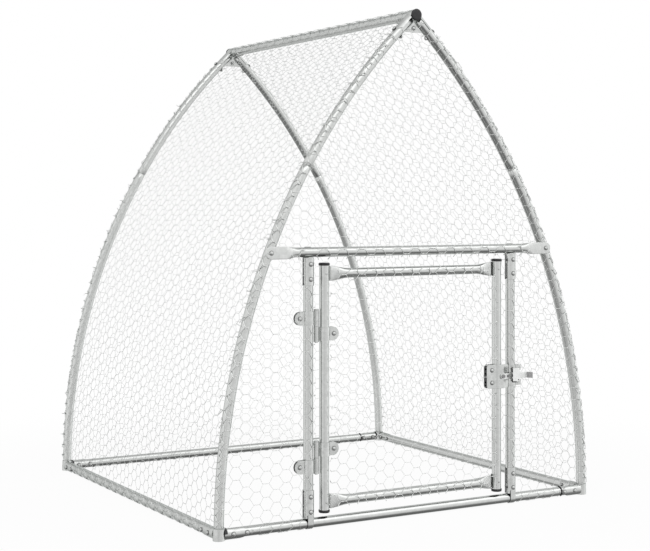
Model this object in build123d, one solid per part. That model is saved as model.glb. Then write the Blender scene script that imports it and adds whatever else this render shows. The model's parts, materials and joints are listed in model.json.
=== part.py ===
from build123d import *
import math
import os

# Pointed-arch chicken coop: galvanised tube, pressed sheet fittings and hexagonal wire netting.
# Millimetres. X runs to the right, Y from the door to the back, Z up. The origin is on the ground,
# under the middle of the whole coop. A rise is a height above the axes of the ground tubes.

# Frame
BASE_WIDTH = 1134.0        # between the axes of the left and right ground tubes
BASE_DEPTH = 1074.0        # between the planes of the front and rear arches
ARCH_RISE = 1301.5         # ridge axis
ARCH_JOINT_RISE = 900.0    # joint between the lower and upper tube of each arch side
LOWER_BENDS = 7            # short straight lengths that make the bow of a lower arch tube
UPPER_BENDS = 4            # the same for an upper arch tube
TUBE_DIAMETER = 25.0
RIDGE_OVERHANG = 12.0      # ridge tube past the arch planes

# Pressed sheet fittings
SHEET = 2.0                # thickness of every pressed fitting
SHEET_FIT = 0.15           # gap between a pressed shell and its tube
FACET = 20.0               # degrees of a tube under each fold of a pressed shell
SHELL_FACETS = 7           # folds of an open half shell
NECK_FACETS = 5            # folds of the neck between a corner and its arm
ARM_FULL = 47.0            # end of an arm's full width from the corner
ARM_BOLT = 70.0            # bolt in the round tongue of an arm, from the corner
TONGUE_RADIUS = 8.0
TONGUE_SIDES = 8
FOOT_LIFT = 0.35           # lowest arm above the ground
FOOT_WALL = 4.0            # wall of the foot cup, which the leg stands on
FOOT_SIDES = 12
GROUND_ROOM = 4.35         # open gap between a corner's shell and the cut end of a ground tube
APEX_ROOM = 2.35           # open gap between the ridge shell and the cut end of an arch tube
SLEEVE_ROOM = 0.5          # ridge sleeve to the end cap
WEB_DROP = 45.0            # apex web below the ridge axis
WEB_NECK = 5.0             # width of the web between the two tube ends
WEB_ROOM = 0.6             # web to the arch tubes

# Door frame
POST_X = 317.5             # door posts from the middle
HEAD_BAR_RISE = 683.0
LUG_THICKNESS = 2.4        # flattened tube end, two walls pressed together
LUG_HEIGHT = 30.0
LUG_FLAT = 28.0            # start of the flat from its bolt
LUG_ROUND = 54.0           # end of the round tube from its bolt
LUG_FIT = 0.1              # gap between a flattened end and the tube that it lies on
LUG_SIDES = 16             # flats of the round end
PRESS_SIDES = 16           # flats round the pressed part between the tube and its flat end
STRAP_REACH = 84.0         # strap end from the axis of the bar that it hooks round
STRAP_BAND = 20.0          # width of the band round the bar
BAND_FACETS = 10           # folds of the band
STRAP_LAP = 6.0            # band past the start of the half shell on the post
STRAP_ROOM = 0.8           # half shell to the bar
POST_GAP = 0.4             # post end to the bar

# Door
DOOR_SIDE_ROOM = 21.5      # open gap between a stile and the post beside it
DOOR_TOP_ROOM = 15.0       # open gap between the door and the head bar
DOOR_BOTTOM_ROOM = 10.0    # open gap between the door and the front ground tube
RAIL_INSET = 27.0          # rail axes from the top and bottom of the door
RAIL_LUG_HEIGHT = 37.0     # flattened ends of the rails, cut off square behind the stiles
RAIL_LUG_FLAT = 14.0
RAIL_LUG_ROUND = 50.0
RAIL_LUG_TIP = 4.0         # flat end past its bolt

# End caps
CAP_SIDES = 16
CAP_SLOPE = 20.0           # degrees
RIDGE_CAP_HEIGHT = 4.0
RIDGE_CAP_DIAMETER = 29.0
STILE_CAP_HEIGHT = 6.5
STILE_CAP_DIAMETER = 29.0

# Hinges
HINGE_UPPER_DROP = 187.0   # middle of the upper hinge below the head bar
HINGE_LOWER_RISE = 163.0   # middle of the lower hinge above the front ground tube
HINGE_STRAP = 34.0         # height of a clamp round its tube
EYE_LENGTH = 40.0          # height of one knuckle
EYE_WALL = 2.5
EYE_GAP = 0.5              # between the two knuckles
EYE_SIDES = 12
PIN_DIAMETER = 8.0
PIN_FIT = 0.05             # running gap of the pin in its knuckles
PIN_HEAD_DIAMETER = 12.0
PIN_HEAD = 2.5
PIN_END = 2.0              # pin below the lower knuckle
FLANGE_SLOT = 6.0          # gap between the two flanges of a clamp
HINGE_TAB = 40.0           # end of a clamp's flanges from its tube axis
TAB_SIDES = 12             # flats of a rounded tab, as if it went right round

# Latch
LATCH_RISE = 336.0         # lever axis
LATCH_HEIGHT = 65.0
LATCH_SLOT = 12.0          # gap between the flanges of the two plates
LATCH_LEFT = 37.0          # flange end from the stile axis
LATCH_RIGHT = 33.0         # plate end from the stile axis
LATCH_CORNER = 6.0
PIVOT_X = 10.0             # rivet from the stile axis, towards the post
RIVET_DIAMETER = 6.0
RIVET_FIT = 0.05           # running gap of the lever on its rivet
RIVET_NECK = 4.0           # square neck of the rivet in the plate
NECK_FIT = 0.1
RIVET_HEAD_DIAMETER = 11.0
RIVET_HEAD = 2.0
LEVER_PLAY = 0.4           # lever to the plate behind it and to the rivet head
LEVER_THICKNESS = 3.0
LEVER_HEIGHT = 16.0
LEVER_LENGTH = 82.0        # rivet to the bend of the finger tab
LEVER_TAB = 18.0
LEVER_BEND = 60.0          # degrees, forwards
KEEPER_HEIGHT = 56.0
KEEPER_FLANGE = 33.0       # flange end from the post axis
KEEPER_BITE = 15.0         # radius of the hollow in the flange's edge
KEEPER_BITE_X = 38.0       # centre of that hollow from the post axis
HOOK_WIDTH = 17.0
HOOK_DEPTH = 9.0           # slot for the lever
HOOK_SHEET = 2.5
HOOK_LIP = 22.0            # lip above the lever axis
HOOK_REST = 0.3            # lever above the bottom of the hook

# Netting, as sheets with large hexagons
NET_PITCH = 240.0          # across flats, middle to middle of the strands
NET_STRAND = 5.0
NET_SHEET = 1.0
NET_GAP = 0.3              # netting off the tubes that it lies on
NET_SELVAGE = 5.0
NET_KEEP = 0.06            # least share of a hexagon that is cut at an edge
NET_INSET = 10.0           # netting edge from the axis of a post or stile with clamps on it
NET_ROOM = 1.5             # netting cut clear of fittings
NET_TOP = 19.0             # flat netting ends this far below the ridge axis

# Values that follow from the sizes above
tube_r = TUBE_DIAMETER / 2
shell_in = tube_r + SHEET_FIT
shell_out = shell_in + SHEET
shell_corner = shell_out / math.cos(math.radians(FACET / 2))
half = BASE_WIDTH / 2
ground_z = shell_out + FOOT_LIFT
ridge_z = ground_z + ARCH_RISE
head_z = ground_z + HEAD_BAR_RISE
door_bottom = ground_z + tube_r + DOOR_BOTTOM_ROOM
door_top = head_z - tube_r - DOOR_TOP_ROOM
rail_bottom = door_bottom + RAIL_INSET
rail_top = door_top - RAIL_INSET
stile_x = POST_X - TUBE_DIAMETER - DOOR_SIDE_ROOM
latch_z = ground_z + LATCH_RISE
arch_r = (half**2 + ARCH_RISE**2) / (2 * half)
apex_angle = math.asin(ARCH_RISE / arch_r)
joint_angle = math.asin(ARCH_JOINT_RISE / arch_r)
lower_step = joint_angle / LOWER_BENDS
upper_step = (apex_angle - joint_angle) / UPPER_BENDS
foot_lean = lower_step / 2
peak_lean = apex_angle - upper_step / 2
arm_start = shell_out - SHEET / 2
arm_end = ARM_BOLT + TONGUE_RADIUS
neck_start = 0.8 * tube_r
bend = math.radians(LEVER_BEND)
lever_back = shell_out + LEVER_PLAY
lever_front = lever_back + LEVER_THICKNESS
front_reach = lever_back + LEVER_TAB * math.sin(bend) + LEVER_THICKNESS * math.cos(bend)
rear_reach = max(RIDGE_OVERHANG + RIDGE_CAP_HEIGHT, shell_corner)
front_y = front_reach - (front_reach + BASE_DEPTH + rear_reach) / 2
rear_y = front_y + BASE_DEPTH
hinge_x = -(POST_X + stile_x) / 2
eye_reach = (POST_X - stile_x) / 2
pin_r = PIN_DIAMETER / 2
flange_out = FLANGE_SLOT / 2 + SHEET
flange_start = math.sqrt(arm_start**2 - (flange_out - SHEET / 2)**2)
latch_start = math.sqrt(arm_start**2 - (LATCH_SLOT / 2 + SHEET / 2)**2)
net_face = tube_r + NET_GAP
net_clear = shell_corner + NET_ROOM

SIDES = {"left": -1, "right": 1}
ENDS = {"front": (front_y, -1), "rear": (rear_y, 1)}


# Places on the arches

def bow(angle, offset=0.0):
    """Point (x, z) on the right-hand arch at an angle above its foot, moved outward by an offset."""
    return (half - arch_r + (arch_r + offset) * math.cos(angle),
            ground_z + (arch_r + offset) * math.sin(angle))


LOWER_ANGLES = [lower_step * i for i in range(LOWER_BENDS + 1)]
UPPER_ANGLES = [joint_angle + upper_step * i for i in range(UPPER_BENDS + 1)]
ARCH_ANGLES = LOWER_ANGLES + UPPER_ANGLES[1:]


def arch_x(z):
    """Distance of an arch axis from the middle at a height above the ground."""
    points = [bow(angle) for angle in ARCH_ANGLES]
    for (x0, z0), (x1, z1) in zip(points, points[1:]):
        if z0 <= z <= z1:
            return x0 + (x1 - x0) * (z - z0) / (z1 - z0)
    return 0.0


def arch_plane(angle, x, y, z, side):
    """Plane across an arch tube that leans by an angle: local x points outward, z up the tube."""
    outward = (side * math.cos(angle), 0, math.sin(angle))
    upward = (-side * math.sin(angle), 0, math.cos(angle))
    return Plane(origin=(side * x, y, z), x_dir=outward, z_dir=upward)


# Shared forms

def box(x0, x1, y0, y1, z0, z1):
    return Pos((x0 + x1) / 2, (y0 + y1) / 2, (z0 + z1) / 2) * Box(
        abs(x1 - x0), abs(y1 - y0), abs(z1 - z0))


def rectangle(x0, x1, y0, y1):
    return Pos((x0 + x1) / 2, (y0 + y1) / 2) * Rectangle(abs(x1 - x0), abs(y1 - y0))


def rod(start, end):
    path = Vector(*end) - Vector(*start)
    return extrude(Plane(origin=start, z_dir=path) * Circle(tube_r), path.length)


def folded(facets, start=None):
    """Section of a folded shell on a tube, its middle fold towards local x unless a start is given."""
    first = -FACET * facets / 2 if start is None else start
    turns = [math.radians(first + FACET * i) for i in range(facets + 1)]
    grow = 1 / math.cos(math.radians(FACET / 2))
    outer = [(shell_out * grow * math.cos(t), shell_out * grow * math.sin(t)) for t in turns]
    inner = [(shell_in * grow * math.cos(t), shell_in * grow * math.sin(t)) for t in turns]
    return make_face(Polyline(*outer, *reversed(inner), close=True))


def folded_ring(towards=0.0):
    """Section of a folded shell right round a tube, with the flat of a fold towards a direction."""
    folds = round(360 / FACET)
    outer = RegularPolygon(shell_out, folds, major_radius=False, rotation=towards - FACET / 2)
    inner = RegularPolygon(shell_in, folds, major_radius=False, rotation=towards - FACET / 2)
    return outer - inner


def clamp_ring():
    """Folded ring of a clamp on the door front, with flats to the front and back."""
    return folded_ring(90)


def plan(x, z0, z1, profile):
    """A profile seen from above, drawn about a tube of the door front, between two heights."""
    return extrude(Plane(origin=(x, front_y, z0)) * profile, z1 - z0)


def elevation(x, z, outline, front, back):
    """An outline seen from the front, drawn about (x, z), between two distances before the tubes."""
    plane = Plane(origin=(x, front_y - back, z), x_dir=(1, 0, 0), z_dir=(0, -1, 0))
    return extrude(plane * outline, front - back)


# Tubes

def arch_tube(angles, y, side, cut=0.0):
    """Bowed tube through circles at the given angles, cut short of the last one."""
    planes = []
    for angle in angles:
        x, z = bow(angle)
        planes.append(arch_plane(angle, x, y, z, side))
    if cut:
        x, z = bow(angles[-1])
        planes[-1] = arch_plane(peak_lean, x, y, z, side).offset(-cut)
    return loft([plane * Circle(tube_r) for plane in planes], ruled=True)


def ground_tube(name):
    inset = shell_out + GROUND_ROOM
    if name in ENDS:
        y = ENDS[name][0]
        return rod((inset - half, y, ground_z), (half - inset, y, ground_z))
    x = SIDES[name] * half
    return rod((x, front_y + inset, ground_z), (x, rear_y - inset, ground_z))


def end_cap(at, out, diameter, height):
    """Black plastic cap with sloping sides on the end of a tube."""
    face = Plane(origin=at, z_dir=out) * RegularPolygon(diameter / 2, CAP_SIDES, major_radius=False)
    return extrude(face, height, taper=CAP_SLOPE).solid()


def flat_ended_bar(bolt_x, z, towards, round_end, flat_start, height, tip):
    """Tube whose ends are pressed flat and set over to one side, to lie on the tubes they bolt to.

    The round tube and the flat are given from the bolts, and the tip as an outline round the bolt.
    """
    lug_y = towards * (tube_r + LUG_FIT + LUG_THICKNESS / 2)
    bar = rod((round_end - bolt_x, front_y, z), (bolt_x - round_end, front_y, z))
    lug_back = -lug_y - LUG_THICKNESS / 2
    for side in SIDES.values():
        press = []
        for i in range(PRESS_SIDES):
            turn = 2 * math.pi * i / PRESS_SIDES
            press.append((side * (bolt_x - round_end), front_y + tube_r * math.cos(turn),
                          z + tube_r * math.sin(turn)))
        for edge_y in (-LUG_THICKNESS / 2, LUG_THICKNESS / 2):
            for edge_z in (-height / 2, height / 2):
                press.append((side * (bolt_x - flat_start), front_y + lug_y + edge_y, z + edge_z))
        bar += ConvexPolyhedron(press)
        root = rectangle(-side * flat_start, 0, -height / 2, height / 2)
        bar += elevation(side * bolt_x, z, tip + root, lug_back + LUG_THICKNESS, lug_back)
    return bar


def head_bar():
    """Door head bar, its round-ended flats before the front arches."""
    tip = RegularPolygon(LUG_HEIGHT / 2, LUG_SIDES, major_radius=False)
    return flat_ended_bar(arch_x(head_z), head_z, -1, LUG_ROUND, LUG_FLAT, LUG_HEIGHT, tip)


def door_rail(z):
    """Rail of the door, its square-ended flats behind the stiles."""
    tip = Rectangle(2 * RAIL_LUG_TIP, RAIL_LUG_HEIGHT)
    return flat_ended_bar(stile_x, z, 1, RAIL_LUG_ROUND, RAIL_LUG_FLAT, RAIL_LUG_HEIGHT, tip)


# Pressed fittings

def arm(plane, start, neck=True):
    """Half shell along a tube from a corner: the plane's z is the tube, its x the outward side."""
    shell = extrude(plane.offset(start) * folded(SHELL_FACETS), arm_end - start)
    wide = rectangle(-shell_out - SHEET, shell_out + SHEET, 0, ARM_FULL)
    tongue = Pos(0, ARM_BOLT) * RegularPolygon(TONGUE_RADIUS, TONGUE_SIDES)
    view = Plane(origin=plane.origin, x_dir=plane.y_dir, z_dir=plane.x_dir)
    outline = make_hull(wide.edges() + tongue.edges())
    made = shell & extrude(view * outline, shell_out + SHEET)
    if neck:
        made += extrude(plane.offset(neck_start) * folded(NECK_FACETS), arm_start + SHEET - neck_start)
    return made


def corner_fitting(side, end):
    """Foot cup and collar for a leg, with arms that shell the outside of two ground tubes."""
    y, out = ENDS[end]
    x = side * half
    cup = RegularPolygon(shell_out, FOOT_SIDES, major_radius=False)
    hollow = RegularPolygon(shell_out - FOOT_WALL, FOOT_SIDES, major_radius=False)
    fitting = extrude(Plane(origin=(x, y, 0)) * cup, ground_z)
    fitting -= extrude(Plane(origin=(x, y, SHEET)) * hollow, ground_z)
    leg = arch_plane(foot_lean, half, y, ground_z, side)
    collar = extrude(leg.offset(-SHEET / 2) * folded_ring(), shell_out + SHEET / 2)
    fitting += collar - box(x - half, x + half, y - half, y + half, 0, ground_z)
    cross = Plane(origin=(x, y, ground_z), x_dir=(0, out, 0), z_dir=(-side, 0, 0))
    flank = Plane(origin=(x, y, ground_z), x_dir=(side, 0, 0), z_dir=(0, -out, 0))
    return fitting + arm(cross, arm_start) + arm(flank, arm_start)


def apex_fitting(end):
    """Sleeve on the ridge tube with an arm under it, arms over the two arch tops and a web between."""
    y, out = ENDS[end]
    ridge = Plane(origin=(0, y, ridge_z), x_dir=(0, 0, -1), z_dir=(0, -out, 0))
    sleeve_start = SLEEVE_ROOM - RIDGE_OVERHANG
    fitting = extrude(ridge.offset(sleeve_start) * folded_ring(), shell_out - sleeve_start)
    fitting += arm(ridge, 0, neck=False)
    for side in SIDES.values():
        up = arch_plane(peak_lean, 0, y, ridge_z, side)
        down = Plane(origin=up.origin, x_dir=up.x_dir, z_dir=-up.z_dir)
        fitting += arm(down, shell_out)
    tube_edge = (tube_r + WEB_ROOM) / math.cos(peak_lean)
    spread = WEB_DROP * math.tan(peak_lean) - tube_edge
    neck_drop = (WEB_NECK / 2 + tube_edge) / math.tan(peak_lean)
    right = [(WEB_NECK / 2, -arm_start), (WEB_NECK / 2, -neck_drop), (spread, -WEB_DROP)]
    left = [(-px, pz) for px, pz in reversed(right)]
    face = Plane(origin=(0, y, ridge_z), x_dir=(1, 0, 0), z_dir=(0, -1, 0))
    web = extrude(face * make_face(Polyline(*right, *left, close=True)), SHEET / 2, both=True)
    return fitting + web


def post_strap(side, bar_z, up):
    """Band hooked round a bar from the front, with a half shell up or down the front of a post."""
    x = side * POST_X
    turn = Plane(origin=(x - up * STRAP_BAND / 2, front_y, bar_z), x_dir=(0, -1, 0), z_dir=(up, 0, 0))
    strap = extrude(turn * folded(BAND_FACETS, -FACET / 2), STRAP_BAND)
    start = tube_r + STRAP_ROOM
    strap += box(x - STRAP_BAND / 2, x + STRAP_BAND / 2, front_y - shell_out, front_y - shell_in,
                 bar_z, bar_z + up * (start + STRAP_LAP))
    along = Plane(origin=(x, front_y, bar_z), x_dir=(0, -1, 0), z_dir=(0, 0, up))
    return strap + extrude(along.offset(start) * folded(SHELL_FACETS), STRAP_REACH - start)


# Hinges

def hinge_clamp(tube_x, towards, z, up):
    """Clamp round a tube with a knuckle on one side and two bolted flanges on the other."""
    eye_x = towards * eye_reach
    eye_r = pin_r + PIN_FIT + EYE_WALL
    z0 = z + (EYE_GAP / 2 if up > 0 else -EYE_GAP / 2 - EYE_LENGTH)
    mid = z0 + EYE_LENGTH / 2
    low, high = mid - HINGE_STRAP / 2, mid + HINGE_STRAP / 2
    slot = rectangle(-towards * (shell_out + SHEET), -towards * tube_r,
                     -FLANGE_SLOT / 2, FLANGE_SLOT / 2)
    clamp = plan(tube_x, low, high, clamp_ring() - slot)
    clamp += plan(tube_x, low, high,
                  rectangle(towards * arm_start, eye_x - towards * (eye_r - EYE_WALL / 2), -SHEET, SHEET))
    knuckle = RegularPolygon(eye_r, EYE_SIDES, major_radius=False)
    clamp += plan(tube_x + eye_x, z0, z0 + EYE_LENGTH, knuckle)
    clamp -= plan(tube_x + eye_x, z0, z0 + EYE_LENGTH, Circle(pin_r + PIN_FIT))
    tab_mid = HINGE_TAB - HINGE_STRAP / 2
    rounded = RegularPolygon(HINGE_STRAP / 2, TAB_SIDES, major_radius=False)
    tab = Pos(-towards * tab_mid, 0) * rounded
    tab += rectangle(-towards * tab_mid, -towards * flange_start, -HINGE_STRAP / 2, HINGE_STRAP / 2)
    tab -= rectangle(-towards * flange_start, towards * HINGE_TAB, -HINGE_STRAP, HINGE_STRAP)
    for front in (flange_out, -FLANGE_SLOT / 2):
        clamp += elevation(tube_x, mid, tab, front, front - SHEET)
    return clamp


def hinge_pin(z):
    top = z + EYE_GAP / 2 + EYE_LENGTH + EYE_GAP
    bottom = z - EYE_GAP / 2 - EYE_LENGTH - PIN_END
    head = RegularPolygon(PIN_HEAD_DIAMETER / 2, EYE_SIDES)
    return plan(hinge_x, bottom, top, Circle(pin_r)) + plan(hinge_x, top, top + PIN_HEAD, head)


# Latch

def latch_outline():
    plate = rectangle(-LATCH_LEFT, LATCH_RIGHT, -LATCH_HEIGHT / 2, LATCH_HEIGHT / 2)
    return chamfer(plate.vertices(), LATCH_CORNER)


def latch_plate(front):
    """Front or back half of the latch clamp on the right stile; the front one carries the lever."""
    reach = shell_out + SHEET
    low, high = latch_z - LATCH_HEIGHT / 2, latch_z + LATCH_HEIGHT / 2
    near, far = -LATCH_SLOT / 2, -LATCH_SLOT / 2 - SHEET
    flange = rectangle(-LATCH_LEFT, -latch_start, near, far)
    profile = clamp_ring() & rectangle(-reach, 0, near, -reach)
    profile += rectangle(0, LATCH_RIGHT, -shell_in, -shell_out)
    if not front:
        flange = rectangle(-LATCH_LEFT, -latch_start, -near, -far)
        profile = clamp_ring() & rectangle(-reach, reach, -near, reach)
    plate = plan(stile_x, low, high, profile + flange)
    plate &= elevation(stile_x, latch_z, latch_outline(), reach, -reach)
    if front:
        width = RIVET_NECK + 2 * NECK_FIT
        plate -= elevation(stile_x + PIVOT_X, latch_z, Rectangle(width, width), reach, tube_r)
    return plate


def latch_rivet():
    x = stile_x + PIVOT_X
    head_back = lever_front + LEVER_PLAY
    neck = elevation(x, latch_z, Rectangle(RIVET_NECK, RIVET_NECK), shell_out, shell_in)
    shank = elevation(x, latch_z, Circle(RIVET_DIAMETER / 2), head_back, shell_out)
    head = RegularPolygon(RIVET_HEAD_DIAMETER / 2, EYE_SIDES)
    return neck + shank + elevation(x, latch_z, head, head_back + RIVET_HEAD, head_back)


def latch_lever():
    """Flat lever on the rivet, its end bent forward as a finger tab."""
    x = stile_x + PIVOT_X
    nose = LEVER_HEIGHT / 2
    tip = Vector(LEVER_LENGTH + LEVER_TAB * math.cos(bend), -lever_back - LEVER_TAB * math.sin(bend))
    front_tip = tip + Vector(-LEVER_THICKNESS * math.sin(bend), -LEVER_THICKNESS * math.cos(bend))
    crease = LEVER_LENGTH - LEVER_THICKNESS * math.tan(bend / 2)
    profile = make_face(Polyline(
        (-nose, -lever_back), (LEVER_LENGTH, -lever_back), (tip.X, tip.Y),
        (front_tip.X, front_tip.Y), (crease, -lever_front), (-nose, -lever_front), close=True))
    lever = plan(x, latch_z - nose, latch_z + nose, profile)
    outline = RegularPolygon(nose, TAB_SIDES, major_radius=False)
    outline += rectangle(0, LEVER_LENGTH + LEVER_TAB, -nose, nose)
    lever &= elevation(x, latch_z, outline, front_reach + nose, shell_out)
    return lever - elevation(x, latch_z, Circle(RIVET_DIAMETER / 2 + RIVET_FIT), front_reach, shell_out)


def latch_keeper():
    """Clamp on the right post with horned flanges and a hook, open at the top, for the lever."""
    low, high = latch_z - KEEPER_HEIGHT / 2, latch_z + KEEPER_HEIGHT / 2
    slot = rectangle(tube_r, shell_out + SHEET, -FLANGE_SLOT / 2, FLANGE_SLOT / 2)
    keeper = plan(POST_X, low, high, clamp_ring() - slot)
    horns = rectangle(flange_start, KEEPER_FLANGE, -KEEPER_HEIGHT / 2, KEEPER_HEIGHT / 2)
    horns -= Pos(KEEPER_BITE_X, 0) * RegularPolygon(KEEPER_BITE, TAB_SIDES)
    for front in (flange_out, -FLANGE_SLOT / 2):
        keeper += elevation(POST_X, latch_z, horns, front, front - SHEET)
    lip_back = front_y - shell_out - HOOK_DEPTH
    rest = latch_z - LEVER_HEIGHT / 2 - HOOK_REST
    left, right = POST_X - HOOK_WIDTH / 2, POST_X + HOOK_WIDTH / 2
    keeper += box(left, right, lip_back, front_y - shell_in - SHEET / 4, rest - HOOK_SHEET, rest)
    keeper += box(left, right, lip_back - HOOK_SHEET, lip_back, rest - HOOK_SHEET, latch_z + HOOK_LIP)
    return keeper


# Netting

def netting(outline, centre):
    """Holes of a net with twisted strands across: hexagons cut to an outline less its selvage."""
    inside = offset(outline, -NET_SELVAGE, kind=Kind.INTERSECTION)
    hexagon = RegularPolygon((NET_PITCH - NET_STRAND) / math.sqrt(3), 6)
    across = NET_PITCH * math.sqrt(3) / 2
    limits = outline.bounding_box()
    columns = range(math.floor((limits.min.X - centre[0]) / across),
                    math.ceil((limits.max.X - centre[0]) / across) + 1)
    holes = []
    for column in columns:
        stagger = NET_PITCH / 2 if column % 2 else 0
        start = math.floor((limits.min.Y - centre[1] - stagger) / NET_PITCH)
        stop = math.ceil((limits.max.Y - centre[1] - stagger) / NET_PITCH)
        for row in range(start, stop + 1):
            at = (centre[0] + column * across, centre[1] + stagger + row * NET_PITCH)
            cut = (Pos(*at) * hexagon) & inside
            found = cut.faces() if cut else []
            holes += [face for face in found if face.area > NET_KEEP * hexagon.area]
    return holes


def flat_net(outline, y, thickness, centre):
    """Net before an arch plane: thickness is positive towards the front."""
    sheet = outline - netting(outline, centre)
    plane = Plane(origin=(0, y, 0), x_dir=(1, 0, 0), z_dir=(0, -1, 0))
    return extrude(plane * sheet, thickness)


def arch_outline(low, high):
    """Space between the two arch axes from one height to another."""
    knots = [bow(angle) for angle in ARCH_ANGLES]
    right = [(arch_x(low), low)] + [p for p in knots if low < p[1] < high] + [(arch_x(high), high)]
    left = [(-px, pz) for px, pz in reversed(right)]
    return make_face(Polyline(*right, *left, close=True))


def corner_cuts():
    """Room for the corner arms at the two foot corners of an arch."""
    start = half - arm_end - NET_ROOM
    return [rectangle(side * start, side * (half + tube_r), 0, ground_z + net_clear)
            for side in SIDES.values()]


def lug_cuts():
    """Room for the flattened ends of the head bar."""
    start = arch_x(head_z) - LUG_ROUND - NET_ROOM
    rise = LUG_HEIGHT / 2 + NET_ROOM
    return [rectangle(side * start, side * half, head_z - rise, head_z + rise)
            for side in SIDES.values()]


def strap_cuts():
    """Room for the bands of the straps round the head bar."""
    width = STRAP_BAND / 2 + NET_ROOM
    return [rectangle(side * POST_X - width, side * POST_X + width, head_z - net_clear, head_z + net_clear)
            for side in SIDES.values()]


def cut_clear(outline, cuts):
    for cut in cuts:
        outline -= cut
    return outline


def rear_net():
    outline = Sketch() + arch_outline(ground_z, ridge_z - NET_TOP)
    return flat_net(cut_clear(outline, corner_cuts()), rear_y + net_face, -NET_SHEET, (0, ridge_z))


def front_net(part):
    """Front netting: above the head bar, or beside the door on the left or right."""
    outline = Sketch() + arch_outline(head_z, ridge_z - NET_TOP)
    if part in SIDES:
        inner = SIDES[part] * (POST_X + NET_INSET)
        outline = Sketch() + arch_outline(ground_z, head_z)
        outline &= rectangle(inner, SIDES[part] * 2 * half, 0, ridge_z)
    outline = cut_clear(outline, corner_cuts() + lug_cuts() + strap_cuts())
    return flat_net(outline, front_y - net_face, NET_SHEET, (0, ridge_z))


def door_net():
    width = stile_x - NET_INSET
    outline = rectangle(-width, width, rail_bottom, rail_top)
    return flat_net(outline, front_y - net_face, NET_SHEET, (0, ridge_z))


def side_net():
    """Net over the right side, folded with the arches' bends, from a ground tube to the ridge tube."""
    inner = [bow(angle, net_face / math.cos(lower_step / 2)) for angle in ARCH_ANGLES]
    outer = [bow(angle, (net_face + NET_SHEET) / math.cos(lower_step / 2)) for angle in ARCH_ANGLES]
    profile = make_face(Polyline(*inner, *reversed(outer), close=True))
    face = Plane(origin=(0, front_y, 0), x_dir=(1, 0, 0), z_dir=(0, -1, 0))
    sheet = extrude(face * profile, -BASE_DEPTH)
    # the net laid flat: x to the back from the front arch, y up the bow from the ground tube
    reach = arch_r + net_face
    length = apex_angle * reach
    arm_length = arm_end + NET_ROOM
    flat = rectangle(0, BASE_DEPTH, 0, length)
    cuts = []
    for near, far in ((0, 1), (BASE_DEPTH, -1)):
        cuts.append(rectangle(near - far, near + far * arm_length, -1, net_clear))
        cuts.append(rectangle(near - far, near + far * net_clear, length - arm_length, length + net_face))
    outline = cut_clear(flat, cuts)
    holes = netting(outline, (BASE_DEPTH / 2, length))
    cutters = []
    for hole in [cut.face() for cut in cuts] + holes:
        middle = hole.center()
        angle = middle.Y / reach
        x, z = bow(angle, net_face)
        tangent = Plane(origin=(x, front_y + middle.X, z), x_dir=(0, 1, 0),
                        z_dir=(math.cos(angle), 0, math.sin(angle)))
        local = tangent * Pos(-middle.X, -middle.Y) * hole
        cutters.append(extrude(local, net_face, both=True))
    return sheet - cutters


# All pieces by name

pieces = {f"ground_tube_{name}": ground_tube(name) for name in (*ENDS, *SIDES)}
for end, (y, out) in ENDS.items():
    for name, side in SIDES.items():
        pieces[f"arch_lower_{end}_{name}"] = arch_tube(LOWER_ANGLES, y, side)
        pieces[f"arch_upper_{end}_{name}"] = arch_tube(UPPER_ANGLES, y, side, shell_out + APEX_ROOM)
        pieces[f"corner_fitting_{end}_{name}"] = corner_fitting(side, end)
    pieces[f"apex_fitting_{end}"] = apex_fitting(end)
ridge_ends = [(0, y + out * RIDGE_OVERHANG, ridge_z) for y, out in ENDS.values()]
pieces["ridge_tube"] = rod(*ridge_ends)
pieces["ridge_end_caps"] = Compound([
    end_cap(at, (0, out, 0), RIDGE_CAP_DIAMETER, RIDGE_CAP_HEIGHT)
    for at, (y, out) in zip(ridge_ends, ENDS.values())])
pieces["door_head_bar"] = head_bar()
stile_bottom = door_bottom + STILE_CAP_HEIGHT
stile_top = door_top - STILE_CAP_HEIGHT
stile_caps = []
for name, side in SIDES.items():
    post_ends = [(side * POST_X, front_y, ground_z + tube_r + POST_GAP),
                 (side * POST_X, front_y, head_z - tube_r - POST_GAP)]
    pieces[f"door_post_{name}"] = rod(*post_ends)
    pieces[f"post_strap_ground_{name}"] = post_strap(side, ground_z, 1)
    pieces[f"post_strap_head_{name}"] = post_strap(side, head_z, -1)
    stile_ends = [(side * stile_x, front_y, stile_bottom), (side * stile_x, front_y, stile_top)]
    pieces[f"door_stile_{name}"] = rod(*stile_ends)
    stile_caps.append(end_cap(stile_ends[0], (0, 0, -1), STILE_CAP_DIAMETER, STILE_CAP_HEIGHT))
    stile_caps.append(end_cap(stile_ends[1], (0, 0, 1), STILE_CAP_DIAMETER, STILE_CAP_HEIGHT))
    pieces[f"front_net_{name}"] = front_net(name)
pieces["door_end_caps"] = Compound(stile_caps)
pieces["door_rail_top"] = door_rail(rail_top)
pieces["door_rail_bottom"] = door_rail(rail_bottom)
hinges = {"upper": (head_z - HINGE_UPPER_DROP, 1), "lower": (ground_z + HINGE_LOWER_RISE, -1)}
for name, (hinge_z, post_up) in hinges.items():
    pieces[f"hinge_post_clamp_{name}"] = hinge_clamp(-POST_X, 1, hinge_z, post_up)
    pieces[f"hinge_door_clamp_{name}"] = hinge_clamp(-stile_x, -1, hinge_z, -post_up)
    pieces[f"hinge_pin_{name}"] = hinge_pin(hinge_z)
pieces["latch_front_plate"] = latch_plate(True)
pieces["latch_back_plate"] = latch_plate(False)
pieces["latch_rivet"] = latch_rivet()
pieces["latch_lever"] = latch_lever()
pieces["latch_keeper"] = latch_keeper()
pieces["side_net_right"] = side_net()
pieces["side_net_left"] = mirror(pieces["side_net_right"], about=Plane.YZ)
pieces["rear_net"] = rear_net()
pieces["front_net_upper"] = front_net("upper")
pieces["door_net"] = door_net()

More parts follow.
